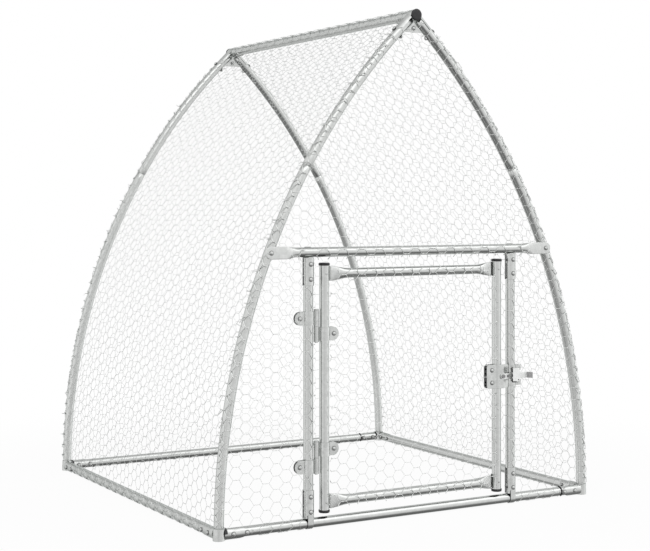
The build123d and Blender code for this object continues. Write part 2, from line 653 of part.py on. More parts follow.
os.makedirs("parts", exist_ok=True)
for name, shape in pieces.items():
    export_step(shape, f"parts/{name}.step")
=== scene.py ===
# %% [markdown]
# A pointed-arch chicken coop
#
# The coop is a run for a few hens: galvanised tubes bolted together with pressed fittings, covered with
# hexagonal wire netting and closed by a small door with a lift latch. Its solids come from the workshop
# model. This lesson gives them their zinc, bends smooth arches, weaves the netting wire by wire and
# puts every bolt in its place.

import json
import math

import bmesh
import bpy
import numpy as np
from mathutils import Matrix, Vector


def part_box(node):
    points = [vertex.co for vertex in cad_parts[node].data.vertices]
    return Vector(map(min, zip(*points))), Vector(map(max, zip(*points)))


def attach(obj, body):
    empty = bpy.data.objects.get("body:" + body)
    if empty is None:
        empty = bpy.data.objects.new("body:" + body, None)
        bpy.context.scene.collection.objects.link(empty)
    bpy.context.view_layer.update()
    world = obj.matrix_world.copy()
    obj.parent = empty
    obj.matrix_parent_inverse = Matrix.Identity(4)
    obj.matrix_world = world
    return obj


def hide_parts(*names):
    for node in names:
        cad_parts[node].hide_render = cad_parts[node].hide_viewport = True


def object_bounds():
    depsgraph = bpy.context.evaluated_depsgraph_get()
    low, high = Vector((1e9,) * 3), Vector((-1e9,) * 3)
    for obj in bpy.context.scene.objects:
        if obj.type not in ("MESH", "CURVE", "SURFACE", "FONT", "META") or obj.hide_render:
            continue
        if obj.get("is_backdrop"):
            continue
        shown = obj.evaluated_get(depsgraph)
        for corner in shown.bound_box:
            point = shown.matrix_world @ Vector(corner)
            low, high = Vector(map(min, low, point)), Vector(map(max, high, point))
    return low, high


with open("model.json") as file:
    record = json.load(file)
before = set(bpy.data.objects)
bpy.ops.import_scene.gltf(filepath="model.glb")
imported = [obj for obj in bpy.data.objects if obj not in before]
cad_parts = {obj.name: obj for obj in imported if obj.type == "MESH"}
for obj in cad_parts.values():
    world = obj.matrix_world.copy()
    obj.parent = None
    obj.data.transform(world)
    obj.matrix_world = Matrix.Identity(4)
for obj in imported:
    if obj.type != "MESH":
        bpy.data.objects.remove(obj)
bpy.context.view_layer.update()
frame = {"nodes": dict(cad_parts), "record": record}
MM = 0.001
scene = bpy.context.scene

# %% [markdown]
# Places on the coop
#
# Every piece that is added later sits on a tube, so the first thing to know is where the tube axes run.
# They could be typed in again, but the frame already holds them: the middle of a tube's box is its
# axis. Each arch side is an arc that starts upright at the ground tube and meets its mirror image on
# the ridge, so its radius follows from the half width and the rise.

# %% Read the axes from the frame


def middle(node):
    low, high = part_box(node)
    return (low + high) / 2


front_y, ground_z = middle("ground_tube_front").yz
rear_y = middle("ground_tube_rear").y
half_width = middle("ground_tube_right").x
ridge_z = middle("ridge_tube").z
head_z = middle("door_head_bar").z
post_x = middle("door_post_right").x
stile_x = middle("door_stile_right").x
rail_top_z = middle("door_rail_top").z
rail_bottom_z = middle("door_rail_bottom").z
latch_z = middle("latch_keeper").z
pivot_x = middle("latch_rivet").x
tube_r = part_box("ground_tube_front")[1].z - ground_z

rise = ridge_z - ground_z
arch_r = (half_width**2 + rise**2) / (2 * half_width)
arch_x0 = half_width - arch_r
apex_angle = math.asin(rise / arch_r)
ENDS = {"front": (front_y, -1), "rear": (rear_y, 1)}
SIDES = {"left": -1, "right": 1}
print(f"tube {2000 * tube_r:.1f} mm, arch radius {arch_r:.3f} m, rise {rise:.3f} m")

# %% [markdown]
# Camera
#
# The coop is seen from the front left by a level camera with a long lens. The base gives two vanishing
# directions, and with the height of the ridge they give the distance. A level camera keeps upright
# tubes upright, and the lens is shifted down to bring the whole coop into the picture.

# %% Place the camera
IMAGE_WIDTH = 650  # pixels
IMAGE_HEIGHT = 551
FOCAL_PIXELS = 1430.7  # focal length in pixels of that image
HORIZON_ROW = 205.15  # pixels from the top
CAMERA_TURN = 29.98  # degrees to the right of straight at the door
CAMERA_PLACE = (-2.0834, -3.6749, 0.8168)
SENSOR = 36.0


def add_object(name, data):
    made = bpy.data.objects.new(name, data)
    scene.collection.objects.link(made)
    return made


camera = add_object("camera", bpy.data.cameras.new("camera"))
camera.location = CAMERA_PLACE
camera.rotation_euler = (math.radians(90), 0, math.radians(-CAMERA_TURN))
camera.data.sensor_width = SENSOR
camera.data.lens = SENSOR * FOCAL_PIXELS / IMAGE_WIDTH
camera.data.shift_y = -(IMAGE_HEIGHT / 2 - HORIZON_ROW) / IMAGE_WIDTH
scene.camera = camera
print(f"lens {camera.data.lens:.1f} mm, shift {camera.data.shift_y:.4f}")

# %% [markdown]
# Studio
#
# Bright zinc shows what stands around it more than its own colour. An even white room would wash the
# tubes out, so the room is white from the horizon up, pale at the back and darker the lower it is,
# which draws the dark line under every level tube. A soft box high before the coop draws the white line
# above it. Shiny surfaces see this room, and the camera sees plain white. The floor keeps a soft shadow
# and stays out of the mirror images, where the lower half of the room has to show.

# %% Helpers for node trees


def feed(tree, inputs, values):
    """Feeds inputs from other sockets or with plain values."""
    for key, value in values.items():
        if isinstance(value, bpy.types.NodeSocket):
            tree.links.new(value, inputs[key])
        else:
            inputs[key].default_value = value


def add_node(tree, kind, values=None, **settings):
    """The outputs of a new node."""
    node = tree.nodes.new(kind)
    for key, value in settings.items():
        setattr(node, key, value)
    feed(tree, node.inputs, values or {})
    return node.outputs


def grade(tree, source, low, high, to_low=0.0, to_high=1.0):
    """Values from low to high become a smooth step between two other values."""
    values = {0: source, 1: low, 2: high, 3: to_low, 4: to_high}
    return add_node(tree, "ShaderNodeMapRange", values, interpolation_type="SMOOTHSTEP")[0]


def calculate(tree, operation, *values):
    return add_node(tree, "ShaderNodeMath", dict(enumerate(values)), operation=operation)[0]


def mix(tree, share, first, second, kind="FLOAT"):
    """A number, or with RGBA a colour, between two others."""
    start, made = {"FLOAT": (2, 0), "RGBA": (6, 2)}[kind]
    values = {0: share, start: first, start + 1: second}
    return add_node(tree, "ShaderNodeMix", values, data_type=kind)[made]


def mix_shaders(tree, share, first, second):
    return add_node(tree, "ShaderNodeMixShader", {0: share, 1: first, 2: second})[0]


def towards(tree, direction, target):
    """How far a direction points towards a fixed one, from -1 to 1."""
    values = {0: direction, 1: target}
    return add_node(tree, "ShaderNodeVectorMath", values, operation="DOT_PRODUCT")["Value"]


def ray_kinds(tree):
    """Whether a ray comes from the camera, and whether from a shiny surface."""
    path = add_node(tree, "ShaderNodeLightPath")
    shiny = calculate(tree, "MAXIMUM", path["Is Glossy Ray"], path["Is Transmission Ray"])
    return path["Is Camera Ray"], shiny


# %% Build the room
WHITE = (1, 1, 1, 1)
UP = (0, 0, 1)
RIGHT = (1, 0, 0)
LEFT = (-1, 0, 0)
FRONT = (0, -1, 0)
FORWARD = (math.sin(math.radians(CAMERA_TURN)), math.cos(math.radians(CAMERA_TURN)), 0)
# heights in the room, from 0 to 1, and the shade of each
LOWER_HALF = ((0.0, 0.15), (0.10, 0.18), (0.175, 0.22), (0.23, 0.34), (0.265, 0.48), (0.295, 0.62),
              (0.33, 0.75), (0.375, 0.90), (0.425, 0.95), (0.50, 1.0))
# walls: their direction, from where to where they fade in, and their value at both
BACK = (FORWARD, 0.45, 0.85)
BACK_SHADE = 0.97
DIMMED = (((0.0, 0.4, 0.92), 0.70, 0.88, 1.0, 0.75),  # the ceiling behind the lamps
          (FORWARD, -0.97, -0.80, 0.90, 1.0))  # round the camera
BRIGHTENED = ((RIGHT, 0.50, 0.95, 0.0, 0.24), (LEFT, 0.50, 0.95, 0.0, 0.10))
SOFT_BOX = ((UP, 0.46, 0.58, 0.0, 0.55), (UP, 0.76, 0.87, 1.0, 0.0))  # its lower and upper edge
GLOW = (UP, 0.0, 0.46, 0.0, 0.25)  # the front wall gets brighter up to the soft box
GLOW_SIDES = ((RIGHT, -0.60, -0.30), (FRONT, -0.1, 0.3))
FILL = 0.55


def studio_room():
    world = bpy.data.worlds.new("studio_room")
    world.use_nodes = True
    tree = world.node_tree
    tree.nodes.clear()
    direction = add_node(tree, "ShaderNodeTexCoord")["Generated"]

    def wall(target, *fade):
        return grade(tree, towards(tree, direction, target), *fade)

    ramp = tree.nodes.new("ShaderNodeValToRGB")
    stops = ramp.color_ramp.elements
    stops.remove(stops[1])
    for place, shade in LOWER_HALF:
        stop = stops.new(place) if place else stops[0]
        stop.color = (shade, shade, shade, 1)
    feed(tree, ramp.inputs, {0: calculate(tree, "MULTIPLY_ADD", towards(tree, direction, UP), 0.5, 0.5)})
    shade = mix(tree, wall(*BACK), ramp.outputs[0], BACK_SHADE)
    for operation, walls in (("MULTIPLY", DIMMED), ("ADD", BRIGHTENED)):
        for part in walls:
            shade = calculate(tree, operation, shade, wall(*part))
    box = calculate(tree, "MULTIPLY", *[wall(*part) for part in SOFT_BOX])
    glow = calculate(tree, "ADD", box, wall(*GLOW))
    sides = calculate(tree, "MULTIPLY", *[wall(*part) for part in GLOW_SIDES])
    shade = calculate(tree, "MULTIPLY_ADD", glow, sides, shade)
    room, soft, white = [add_node(tree, "ShaderNodeBackground", {"Color": WHITE, "Strength": strength})[0]
                         for strength in (shade, FILL, 1.0)]
    seen, shiny = ray_kinds(tree)
    surface = mix_shaders(tree, seen, mix_shaders(tree, shiny, soft, room), white)
    add_node(tree, "ShaderNodeOutputWorld", {"Surface": surface})
    world.cycles.sampling_method = "NONE"
    return world


scene.view_settings.view_transform = "Standard"
scene.world = studio_room()
print("room with", len(scene.world.node_tree.nodes), "nodes")

# %% Lay the floor and hang the lamps
FLOOR_SIZE = 60.0
FLOOR_SHADOW = 0.05  # share of the shading that shows
SHADOW_REACH = (0.7, 1.9)  # metres over which it fades to white
LAMPS = (("key_lamp", (-1.1, -1.9, 3.3), 2.4, 42.0), ("side_lamp", (2.6, -1.6, 2.2), 1.8, 10.0))


def new_mesh(name, corners, faces):
    mesh = bpy.data.meshes.new(name)
    mesh.from_pydata(corners, [], faces)
    return mesh


def new_material(name):
    """A material, its node tree, its shader and its piece's coordinates."""
    material = bpy.data.materials.new(name)
    material.use_nodes = True
    tree = material.node_tree
    place = add_node(tree, "ShaderNodeTexCoord")["Object"]
    return material, tree, tree.nodes["Principled BSDF"], place


def pale_floor():
    reach = FLOOR_SIZE / 2
    corners = [(-reach, -reach, 0), (reach, -reach, 0), (reach, reach, 0), (-reach, reach, 0)]
    floor = add_object("floor", new_mesh("floor", corners, [(0, 1, 2, 3)]))
    material, tree, shader, place = new_material("pale_floor")
    tree.nodes.remove(shader)
    pale = add_node(tree, "ShaderNodeBsdfDiffuse", {"Color": (0.82, 0.82, 0.82, 1)})[0]
    white = add_node(tree, "ShaderNodeEmission", {"Color": WHITE, "Strength": 1.0})[0]
    distance = add_node(tree, "ShaderNodeVectorMath", {0: place}, operation="LENGTH")["Value"]
    plain = grade(tree, distance, *SHADOW_REACH, 1.0 - FLOOR_SHADOW, 1.0)
    share = calculate(tree, "MULTIPLY", calculate(tree, "MAXIMUM", *ray_kinds(tree)), plain)
    surface = mix_shaders(tree, share, pale, white)
    feed(tree, tree.nodes["Material Output"].inputs, {"Surface": surface})
    floor.data.materials.append(material)
    floor.visible_glossy = False
    floor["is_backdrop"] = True


def soft_lamp(name, place, size, power):
    lamp = bpy.data.lights.new(name, "AREA")
    lamp.energy = power
    lamp.size = size
    holder = add_object(name, lamp)
    holder.location = place
    aim = Vector((0.0, 0.0, rise / 2)) - Vector(place)
    holder.rotation_euler = aim.to_track_quat("-Z", "Y").to_euler()
    holder.visible_glossy = False


pale_floor()
for lamp in LAMPS:
    soft_lamp(*lamp)
print("floor and", len(LAMPS), "lamps")

# %% [markdown]
# Zinc
#
# Galvanised steel is dipped in molten zinc, which freezes in flat crystals. Each crystal, or spangle,
# mirrors the light a little differently. A photograph of zinc could be wrapped round every tube, but a
# cell pattern made from the piece's own coordinates needs no unwrapping and keeps one scale everywhere.
# All the zinc shares the spangle and the dull bloom that handling leaves, so each is a node group that
# is built once.

# %% Shared finishes
CRYSTAL_LAYERS = (1.0, 2.7)  # times the number per metre
SMALL_CRYSTALS = 0.35  # share of the second layer
RUFFLE = (0.006, 0.006, 0.006)  # metres of fraying at their edges
BLOOM_FADE = (0.42, 0.72)
SCRATCH_TURNS = ((0.3, 0.9, 0.2), (1.2, 0.4, 2.1))  # radians
SCRATCH_FADE = (0.64, 0.74)


def finish_group(name, inputs, outputs):
    """An empty node group, with the sockets inside it by name."""
    group = bpy.data.node_groups.new(name, "ShaderNodeTree")
    for way, sockets in (("INPUT", inputs), ("OUTPUT", outputs)):
        for socket, kind in sockets.items():
            group.interface.new_socket(socket, in_out=way, socket_type="NodeSocket" + kind)
    return group, group.nodes.new("NodeGroupInput").outputs, group.nodes.new("NodeGroupOutput").inputs


def zinc_spangle():
    group, given, made = finish_group(
        "zinc_spangle",
        {"Place": "Vector", "Crystals per metre": "Float", "Light": "Color", "Dark": "Color"},
        {"Colour": "Color", "Dullness": "Float", "Relief": "Float"})
    place = given["Place"]
    noise = add_node(group, "ShaderNodeTexNoise", {"Vector": place, "Scale": 260.0, "Detail": 3.0})
    values = {0: noise["Color"], 1: RUFFLE, 2: place}
    ruffled = add_node(group, "ShaderNodeVectorMath", values, operation="MULTIPLY_ADD")[0]
    layers = []
    for times in CRYSTAL_LAYERS:
        scale = calculate(group, "MULTIPLY", given["Crystals per metre"], times)
        values = {"Vector": ruffled, "Scale": scale, "Randomness": 1.0}
        cells = add_node(group, "ShaderNodeTexVoronoi", values)
        layers.append(add_node(group, "ShaderNodeSeparateColor", {0: cells["Color"]})[0])
    crystal = mix(group, SMALL_CRYSTALS, *layers)
    feed(group, made, {"Colour": mix(group, crystal, given["Dark"], given["Light"], "RGBA"),
                       "Dullness": calculate(group, "SUBTRACT", 1.0, crystal), "Relief": crystal})
    return group


def dull_bloom():
    group, given, made = finish_group(
        "dull_bloom", {"Place": "Vector", "Patches per metre": "Float", "Scratches": "Float"},
        {"Bloom": "Float", "Scratch": "Float"})
    place = given["Place"]
    values = {"Vector": place, "Scale": given["Patches per metre"], "Detail": 5.0, "Roughness": 0.6}
    patches = add_node(group, "ShaderNodeTexNoise", values)
    marks = []
    for turn in SCRATCH_TURNS:
        values = {"Vector": place, "Rotation": turn, "Scale": (40.0, 40.0, 1400.0)}
        drawn_out = add_node(group, "ShaderNodeMapping", values)[0]
        grain = add_node(group, "ShaderNodeTexNoise", {"Vector": drawn_out, "Scale": 1.0, "Detail": 2.0})
        marks.append(grade(group, grain[0], *SCRATCH_FADE))
    scratch = calculate(group, "MAXIMUM", *marks)
    feed(group, made, {"Bloom": grade(group, patches[0], *BLOOM_FADE),
                       "Scratch": calculate(group, "MULTIPLY", scratch, given["Scratches"])})
    return group


SPANGLE = zinc_spangle()
BLOOM = dull_bloom()
print("shared finishes:", SPANGLE.name, BLOOM.name)

# %% [markdown]
# Metal finishes and a plastic
#
# The tubes are hot-dipped: smooth, bright, with fine spangle. The fittings are pressed from sheet and
# come out duller. The wire is too thin for crystals to show, so only its tone changes along its length.
# Bolts and the lever are plated. The end caps are black plastic with a fine grain. Each metal could
# have a recipe of its own, but one recipe with different numbers keeps them alike.

# %% Make the materials
EDGE_TINT = (0.60, 0.62, 0.61, 1)
ZINC_PATCHES = 14.0  # of bloom, per metre
BLOOM_TONE = 0.35  # how far bloom brings the dark tone out
BLOOM_WEAR = 0.6  # shares of bloom and crystals in the roughness
CRYSTAL_WEAR = 0.4
BLACK_TONES = ((0.010, 0.010, 0.011, 1), (0.024, 0.024, 0.026, 1))
BLACK_GLOSS = (0.36, 0.52)


def shared(tree, group, **values):
    values = {key.replace("_", " "): value for key, value in values.items()}
    return add_node(tree, "ShaderNodeGroup", values, node_tree=group)


def finish_surface(tree, shader, colour, roughness, height, relief, depth):
    values = {"Strength": relief, "Distance": depth, "Height": height}
    normal = add_node(tree, "ShaderNodeBump", values)[0]
    feed(tree, shader.inputs, {"Base Color": colour, "Roughness": roughness, "Normal": normal})


def zinc(name, light, dark, tint, crystals, gloss, dull, relief, scratches):
    """A zinc surface: crystal tones, a range of roughness, a little relief."""
    material, tree, shader, place = new_material(name)
    light, dark = [(tone, tone + tint, tone, 1) for tone in (light, dark)]
    spangle = shared(tree, SPANGLE, Place=place, Crystals_per_metre=crystals, Light=light, Dark=dark)
    bloom = shared(tree, BLOOM, Place=place, Patches_per_metre=ZINC_PATCHES, Scratches=scratches)
    share = calculate(tree, "MULTIPLY", bloom["Bloom"], BLOOM_TONE)
    wear = calculate(tree, "MULTIPLY", spangle["Dullness"], CRYSTAL_WEAR)
    wear = calculate(tree, "MULTIPLY_ADD", bloom["Bloom"], BLOOM_WEAR, wear)
    height = calculate(tree, "SUBTRACT", spangle["Relief"], bloom["Scratch"])
    finish_surface(tree, shader, mix(tree, share, spangle["Colour"], dark, "RGBA"),
                   mix(tree, wear, gloss, dull), height, relief, depth=0.2 * MM)
    feed(tree, shader.inputs, {"Metallic": 1.0, "Specular Tint": EDGE_TINT})
    return material


def moulded_black(name):
    material, tree, shader, place = new_material(name)
    bloom = shared(tree, BLOOM, Place=place, Patches_per_metre=90.0)["Bloom"]
    grain = add_node(tree, "ShaderNodeTexNoise", {"Vector": place, "Scale": 2600.0, "Detail": 2.0})[0]
    finish_surface(tree, shader, mix(tree, bloom, *BLACK_TONES, "RGBA"),
                   mix(tree, bloom, *BLACK_GLOSS), grain, relief=0.35, depth=0.1 * MM)
    return material


# light and dark tone, their tint, crystals per metre, least and most roughness, relief, scratches
ZINCS = {
    "galvanised_tube": (0.64, 0.55, 0.01, 150.0, 0.10, 0.22, 0.02, 0.3),
    "pressed_fitting": (0.66, 0.54, 0.01, 110.0, 0.20, 0.36, 0.06, 0.6),
    # the squeezed ends: rougher from the press, and lighter as painted light against the shade they lie
    # in
    "scuffed_lightened_end": (0.76, 0.63, 0.01, 130.0, 0.45, 0.60, 0.06, 0.8),
    "netting_wire": (0.88, 0.72, 0.01, 60.0, 0.28, 0.45, 0.0, 0.0),
    "plated_bolt": (0.62, 0.50, 0.01, 300.0, 0.30, 0.42, 0.04, 0.4),
    "bright_lever": (0.90, 0.80, 0.01, 200.0, 0.40, 0.52, 0.03, 0.5),
    # dark steel: the rivets, and the washers, whose dark rim paints the shade round bolt heads and nuts
    "spring_steel_and_shade": (0.36, 0.20, 0.0, 300.0, 0.35, 0.50, 0.04, 0.4),
    # the lever's bent tab: duller with wear, and darker as painted shade of its bend
    "dull_shaded_tab": (0.48, 0.30, 0.0, 260.0, 0.30, 0.45, 0.10, 1.0),
}
FINISHES = {name: zinc(name, *values) for name, values in ZINCS.items()}
FINISHES["black_cap"] = moulded_black("black_cap")
print("materials:", ", ".join(FINISHES))

# %% [markdown]
# Dress the solids
#
# The fittings, hinges and latch parts keep their solids. Real pressed sheet has no razor edges: the
# press leaves a small round that catches the light. Instead of remodelling it, a bevel modifier rounds
# every edge that turns by more than 34 degrees, and weighted normals keep the flats flat.

# %% Give every node its finish
EDGE_ROUND = 0.4 * MM
EDGE_ANGLE = math.radians(34)
LEVER_LENGTH = 82 * MM  # from the rivet to the bend
OWN_FINISH = {"latch_lever": "bright_lever", "latch_rivet": "spring_steel_and_shade"}


def coat(mesh, *finishes):
    for finish in finishes:
        mesh.materials.append(FINISHES[finish])


def smooth(mesh):
    mesh.polygons.foreach_set("use_smooth", np.ones(len(mesh.polygons), dtype=bool))
    return mesh


def round_edges(piece):
    edge = piece.modifiers.new("edge", "BEVEL")
    edge.width = EDGE_ROUND
    edge.segments = 2
    edge.limit_method = "ANGLE"
    edge.angle_limit = EDGE_ANGLE
    piece.modifiers.new("shading", "WEIGHTED_NORMAL").keep_sharp = True


def dress(node, finish):
    piece = frame["nodes"][node]
    mesh = smooth(piece.data)
    mesh.materials.clear()
    coat(mesh, finish)
    piece.modifiers.new("weld", "WELD").merge_threshold = 0.01 * MM
    flats = piece.modifiers.new("flats", "DECIMATE")
    flats.decimate_type = "DISSOLVE"
    flats.angle_limit = math.radians(1)
    round_edges(piece)


slots = {row["node"]: row["material_slot"] for row in frame["record"]["subparts"]}
for node, slot in slots.items():
    dress(node, OWN_FINISH.get(node, slot))
# past the bend the lever gets the darker tab finish, painted shade of the bend besides its wear
lever = frame["nodes"]["latch_lever"]
coat(lever.data, "dull_shaded_tab")
for face in lever.data.polygons:
    face.material_index = int((lever.matrix_world @ face.center).x > pivot_x + LEVER_LENGTH)
print("dressed", len(slots), "nodes")

# %% [markdown]
# Bowed tubes
#
# Each arch side is two tubes: a lower one that stands in the corner fitting, and an upper one whose
# end is squeezed and pushed into it. The solids step round the bow in straight lengths. Sweeping a
# circle along the true arc gives a smooth bow, and a radius that changes along the way gives the
# squeezed end and the dark ring where one tube enters the other.

# %% Sweep helpers


def points(*coordinates):
    """Points from coordinates that fit each other."""
    return np.stack(np.broadcast_arrays(*coordinates), axis=-1)


def circle(sides, start=0.0):
    turn = 2 * np.pi * (np.arange(sides) + start) / sides
    return np.cos(turn), np.sin(turn)


def unit(vectors):
    return vectors / np.linalg.norm(vectors, axis=-1, keepdims=True)


def skin(name, tubes):
    """One mesh with closed ends from stacks of rings of points."""
    corners, faces, start = [], [], 0
    for rings in tubes:
        count, sides = rings.shape[:2]
        corners.append(rings.reshape(-1, 3))
        grid = start + np.arange(count * sides).reshape(count, sides)
        beside = np.roll(grid, -1, axis=1)
        walls = points(grid[:-1], beside[:-1], beside[1:], grid[1:]).reshape(-1, 4)
        faces += [*walls.tolist(), grid[0][::-1].tolist(), grid[-1].tolist()]
        start += count * sides
    return new_mesh(name, np.concatenate(corners).tolist(), faces)


def sweep(name, paths, sides):
    """Smooth round bars. Each is points along it, directions across it, and radii."""
    cos, sin = circle(sides, 0.5)
    tubes = []
    for path, across, radii in paths:
        along = unit(np.gradient(path, axis=0))
        aside = unit(np.cross(along, across))
        upright = np.cross(aside, along)
        ring = cos[:, None] * upright[:, None] + sin[:, None] * aside[:, None]
        tubes.append(path[:, None] + radii[:, None, None] * ring)
    return smooth(skin(name, tubes))


def place_piece(name, mesh, slot, body, *nodes, finish=None, at=None):
    """A finished piece on its body, standing for the nodes it replaces."""
    piece = add_object(name, mesh)
    if at is not None:
        piece.matrix_world = at
    if not mesh.materials:
        coat(mesh, finish or slot)
    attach(piece, body)
    if nodes:
        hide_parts(*nodes)
    return piece


# %% Bend the arches
ARCH_JOINT_RISE = 0.9
APEX_ROOM = 17 * MM  # the upper tube stops short of the ridge axis
PLUG_DROP = 1.3 * MM  # how much smaller the squeezed end is
PLUG_LENGTH = 5 * MM
RIM_ROUND = 0.8 * MM
BOW_STEP = math.radians(0.6)
BOW_SIDES = 36
joint = math.asin(ARCH_JOINT_RISE / arch_r)
plug = PLUG_LENGTH / arch_r


def bow(low, high):
    return np.linspace(low, high, int((high - low) / BOW_STEP))


lower = np.concatenate([bow(0, joint - RIM_ROUND / arch_r), [joint]])
upper = np.concatenate([[joint, joint + plug / 2], bow(joint + plug, apex_angle - APEX_ROOM / arch_r)])
ARCH_PARTS = {"lower": (lower, np.where(lower < joint, tube_r, tube_r - RIM_ROUND)),
              "upper": (upper, np.where(upper < joint + plug, tube_r - PLUG_DROP, tube_r))}
for end, (y, _) in ENDS.items():
    for side, sign in SIDES.items():
        for part, (angles, radii) in ARCH_PARTS.items():
            outward = points(sign * np.cos(angles), 0.0, np.sin(angles))
            path = np.array([sign * arch_x0, y, ground_z]) + arch_r * outward
            mesh = sweep("bow", [(path, outward, radii)], BOW_SIDES)
            name = f"{part}_{end}_{side}"
            place_piece(f"bowed_tube_{name}", mesh, "galvanised_tube", "frame", f"arch_{name}")
print("8 bowed tubes of", len(lower), "and", len(upper), "rings")

# %% [markdown]
# Pressed bars
#
# The head bar and the two door rails are tubes whose ends are squeezed flat, set over to one side and
# bolted on the tubes they meet. The rails are squeezed further and set over close to the stile. A
# cylinder with a plate stuck on it would show a seam. Here every ring of the tube is a mix of a circle
# and a flat oval, so the round flows into the flat. The press scuffs the zinc, so the ends are rougher;
# their lighter tone is painted light against the shade where they lie on the tubes they meet.

# %% Press the bars
LUG_SHEET = 2.4 * MM  # two walls pressed together
LUG_FACE = 15.0 * MM  # outer face of a flat end from the tube axis
LUG_TIP = 15 * MM
LUG_OVAL = 0.35  # the lower, the flatter
LUG_END = 0.999  # share of the tip, so that no ring shrinks to a point
BAR_SIDES = 40
# from its bolts: where a bar is squeezed and where it is set over; its height there, tip and round tip
HEAD_ENDS = ((40 * MM, 80 * MM), (40 * MM, 80 * MM), 32 * MM, LUG_TIP, True)
RAIL_ENDS = ((14 * MM, 72 * MM), (6 * MM, 20 * MM), 38 * MM, 4 * MM, False)
lug_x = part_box("door_head_bar")[1].x - LUG_TIP


def both_ends(values, mirror=1):
    return np.concatenate([values, mirror * values[::-1]])[:, None]


def pressed_bar(name, node, body, bolt_x, z, face, pressed, set_over, height, tip, round_tip):
    """A bar along X between two bolts, its ends set over to the back, or to the front for face -1."""
    from_bolt = np.concatenate([np.linspace(-LUG_END * tip, 0, 10),
                                np.linspace(min(set_over), max(pressed), 40)])
    spread = np.full(len(from_bolt), height)
    if round_tip:
        spread = 2 * np.sqrt((height / 2)**2 - np.minimum(from_bolt, 0)**2)
    half = both_ends(spread) / 2
    shares = []
    for first, last in (pressed, set_over):
        part = np.clip((last - from_bolt) / (last - first), 0, 1)
        shares.append(both_ends(part * part * (3 - 2 * part)))
    flat, moved = shares
    cos, sin = circle(BAR_SIDES)
    thick = LUG_SHEET / 2 * np.sign(cos) * np.abs(cos)**LUG_OVAL
    middle_y = front_y + moved * face * (LUG_FACE - LUG_SHEET / 2)
    y = middle_y + (1 - flat) * tube_r * cos + flat * thick
    z = z + ((1 - flat) * tube_r + flat * half) * sin
    mesh = smooth(skin("bar", [points(both_ends(from_bolt - bolt_x, -1), y, z)]))
    # the squeezed ends take the rougher finish, whose lighter tone is painted light against their shade
    coat(mesh, "galvanised_tube", "scuffed_lightened_end")
    for polygon in mesh.polygons:
        polygon.material_index = int(abs(polygon.center.x) > bolt_x - sum(pressed) / 2)
    place_piece(name, mesh, "galvanised_tube", body, node)


pressed_bar("pressed_bar_head", "door_head_bar", "frame", lug_x, head_z, -1, *HEAD_ENDS)
for place, z in (("top", rail_top_z), ("bottom", rail_bottom_z)):
    pressed_bar(f"pressed_rail_{place}", f"door_rail_{place}", "door", stile_x, z, 1, *RAIL_ENDS)
print("3 pressed bars")

# %% [markdown]
# Bolts and caps
#
# Small round things come off a lathe, so they are made like that here: rings of a radius and a height
# are spun round an axis. A bolt has a low domed head, a hexagonal nut, the end of its thread and two
# spring washers, dark so that their rim round the head and the nut paints the shade of a pressed
# recess. A rivet has two flat heads. One mesh serves every fastener of the same length.

# %% Turn the fasteners
# rings of radius and height, mm; those of the nut and the thread are measured from the nut's washer
# the washers take the dark steel, so their rim paints the shade of the recess round each head and nut
WASHER = ((6.1, 0.0), (6.3, 0.2), (6.3, 0.7), (6.1, 0.9))
HEAD = ((4.8, 0.9), (4.8, 1.4), (4.512, 2.1), (3.744, 2.9), (2.4, 3.5), (0.96, 3.7))
NUT = ((4.5, -4.0), (5.0, -3.4), (5.0, -0.6), (4.5, 0.0))
THREAD = ((1.68, -5.8), (2.4, -5.2), (2.4, -4.0))
RIVET = ((3.6, 0.0), (3.6, 0.3), (3.06, 0.7), (1.98, 0.9), (0.72, 1.0))
RIVET_BACK = [(radius, -height) for radius, height in reversed(RIVET)]
RIVET_FINISH = {"rivet": "plated_bolt", "dark_rivet": "spring_steel_and_shade"}
fastener_meshes = {}
fasteners = []


def turned(profiles, *finishes):
    """One mesh of spun profiles: sides, rings, place along the axis and finish."""
    stacks, places = [], []
    for sides, rings, shift, finish in profiles:
        cos, sin = circle(sides)
        radius, height = np.array(rings).T[:, :, None] * MM
        stacks.append(points(radius * cos, radius * sin, shift + height))
        places += [finish] * ((len(rings) - 1) * sides + 2)
    mesh = skin("turned", stacks)
    coat(mesh, *finishes)
    mesh.polygons.foreach_set("material_index", places)
    return mesh


def fastener_mesh(kind, grip):
    """A bolt or rivet along +Z, with its head on z = 0 and its other end on -grip."""
    if kind in RIVET_FINISH:
        return turned([(16, RIVET, 0, 0), (16, RIVET_BACK, -grip, 0)], RIVET_FINISH[kind])
    low = -grip - WASHER[-1][1] * MM
    return turned([(20, HEAD, 0, 0), (20, WASHER, 0, 1), (20, WASHER, low, 1), (6, NUT, low, 0),
                   (12, THREAD, low, 0)], "plated_bolt", "spring_steel_and_shade")


def facing(place, outward):
    return Matrix.Translation(place) @ Vector(outward).to_track_quat("Z", "Y").to_matrix().to_4x4()


def fasten(place, head_at, back_at, outward=FRONT, kind="bolt", body="frame"):
    """A bolt or rivet through a place, with its ends that far before and behind it."""
    grip = round(head_at + back_at, 6)
    if (kind, grip) not in fastener_meshes:
        fastener_meshes[kind, grip] = fastener_mesh(kind, grip)
    outward = Vector(outward).normalized()
    at = facing(Vector(place) + outward * head_at, outward)
    name = f"{kind}_{body}_{len(fasteners):02d}"
    fasteners.append(place_piece(name, fastener_meshes[kind, grip], "pressed_fitting", body, at=at))


# %% Bolt the fittings
SHELL_OUT = 14.65 * MM  # outer face of a pressed shell from the tube axis
FLANGE = 5.0 * MM  # outer face of a clamp flange from its middle
LATCH_FLANGE = 8.0 * MM
WEB = 1.0 * MM
ARM_BOLTS = (33 * MM, 70 * MM)
WEB_DROP = 34 * MM
STRAP_BOLTS = (30 * MM, 68 * MM)
HINGE_BOLT = 26 * MM
LATCH_BOLT = 20.5 * MM
LATCH_PITCH = 34 * MM
KEEPER_BOLT = 21.5 * MM
KEEPER_PITCH = 38 * MM
lean = apex_angle - ARM_BOLTS[1] / arch_r

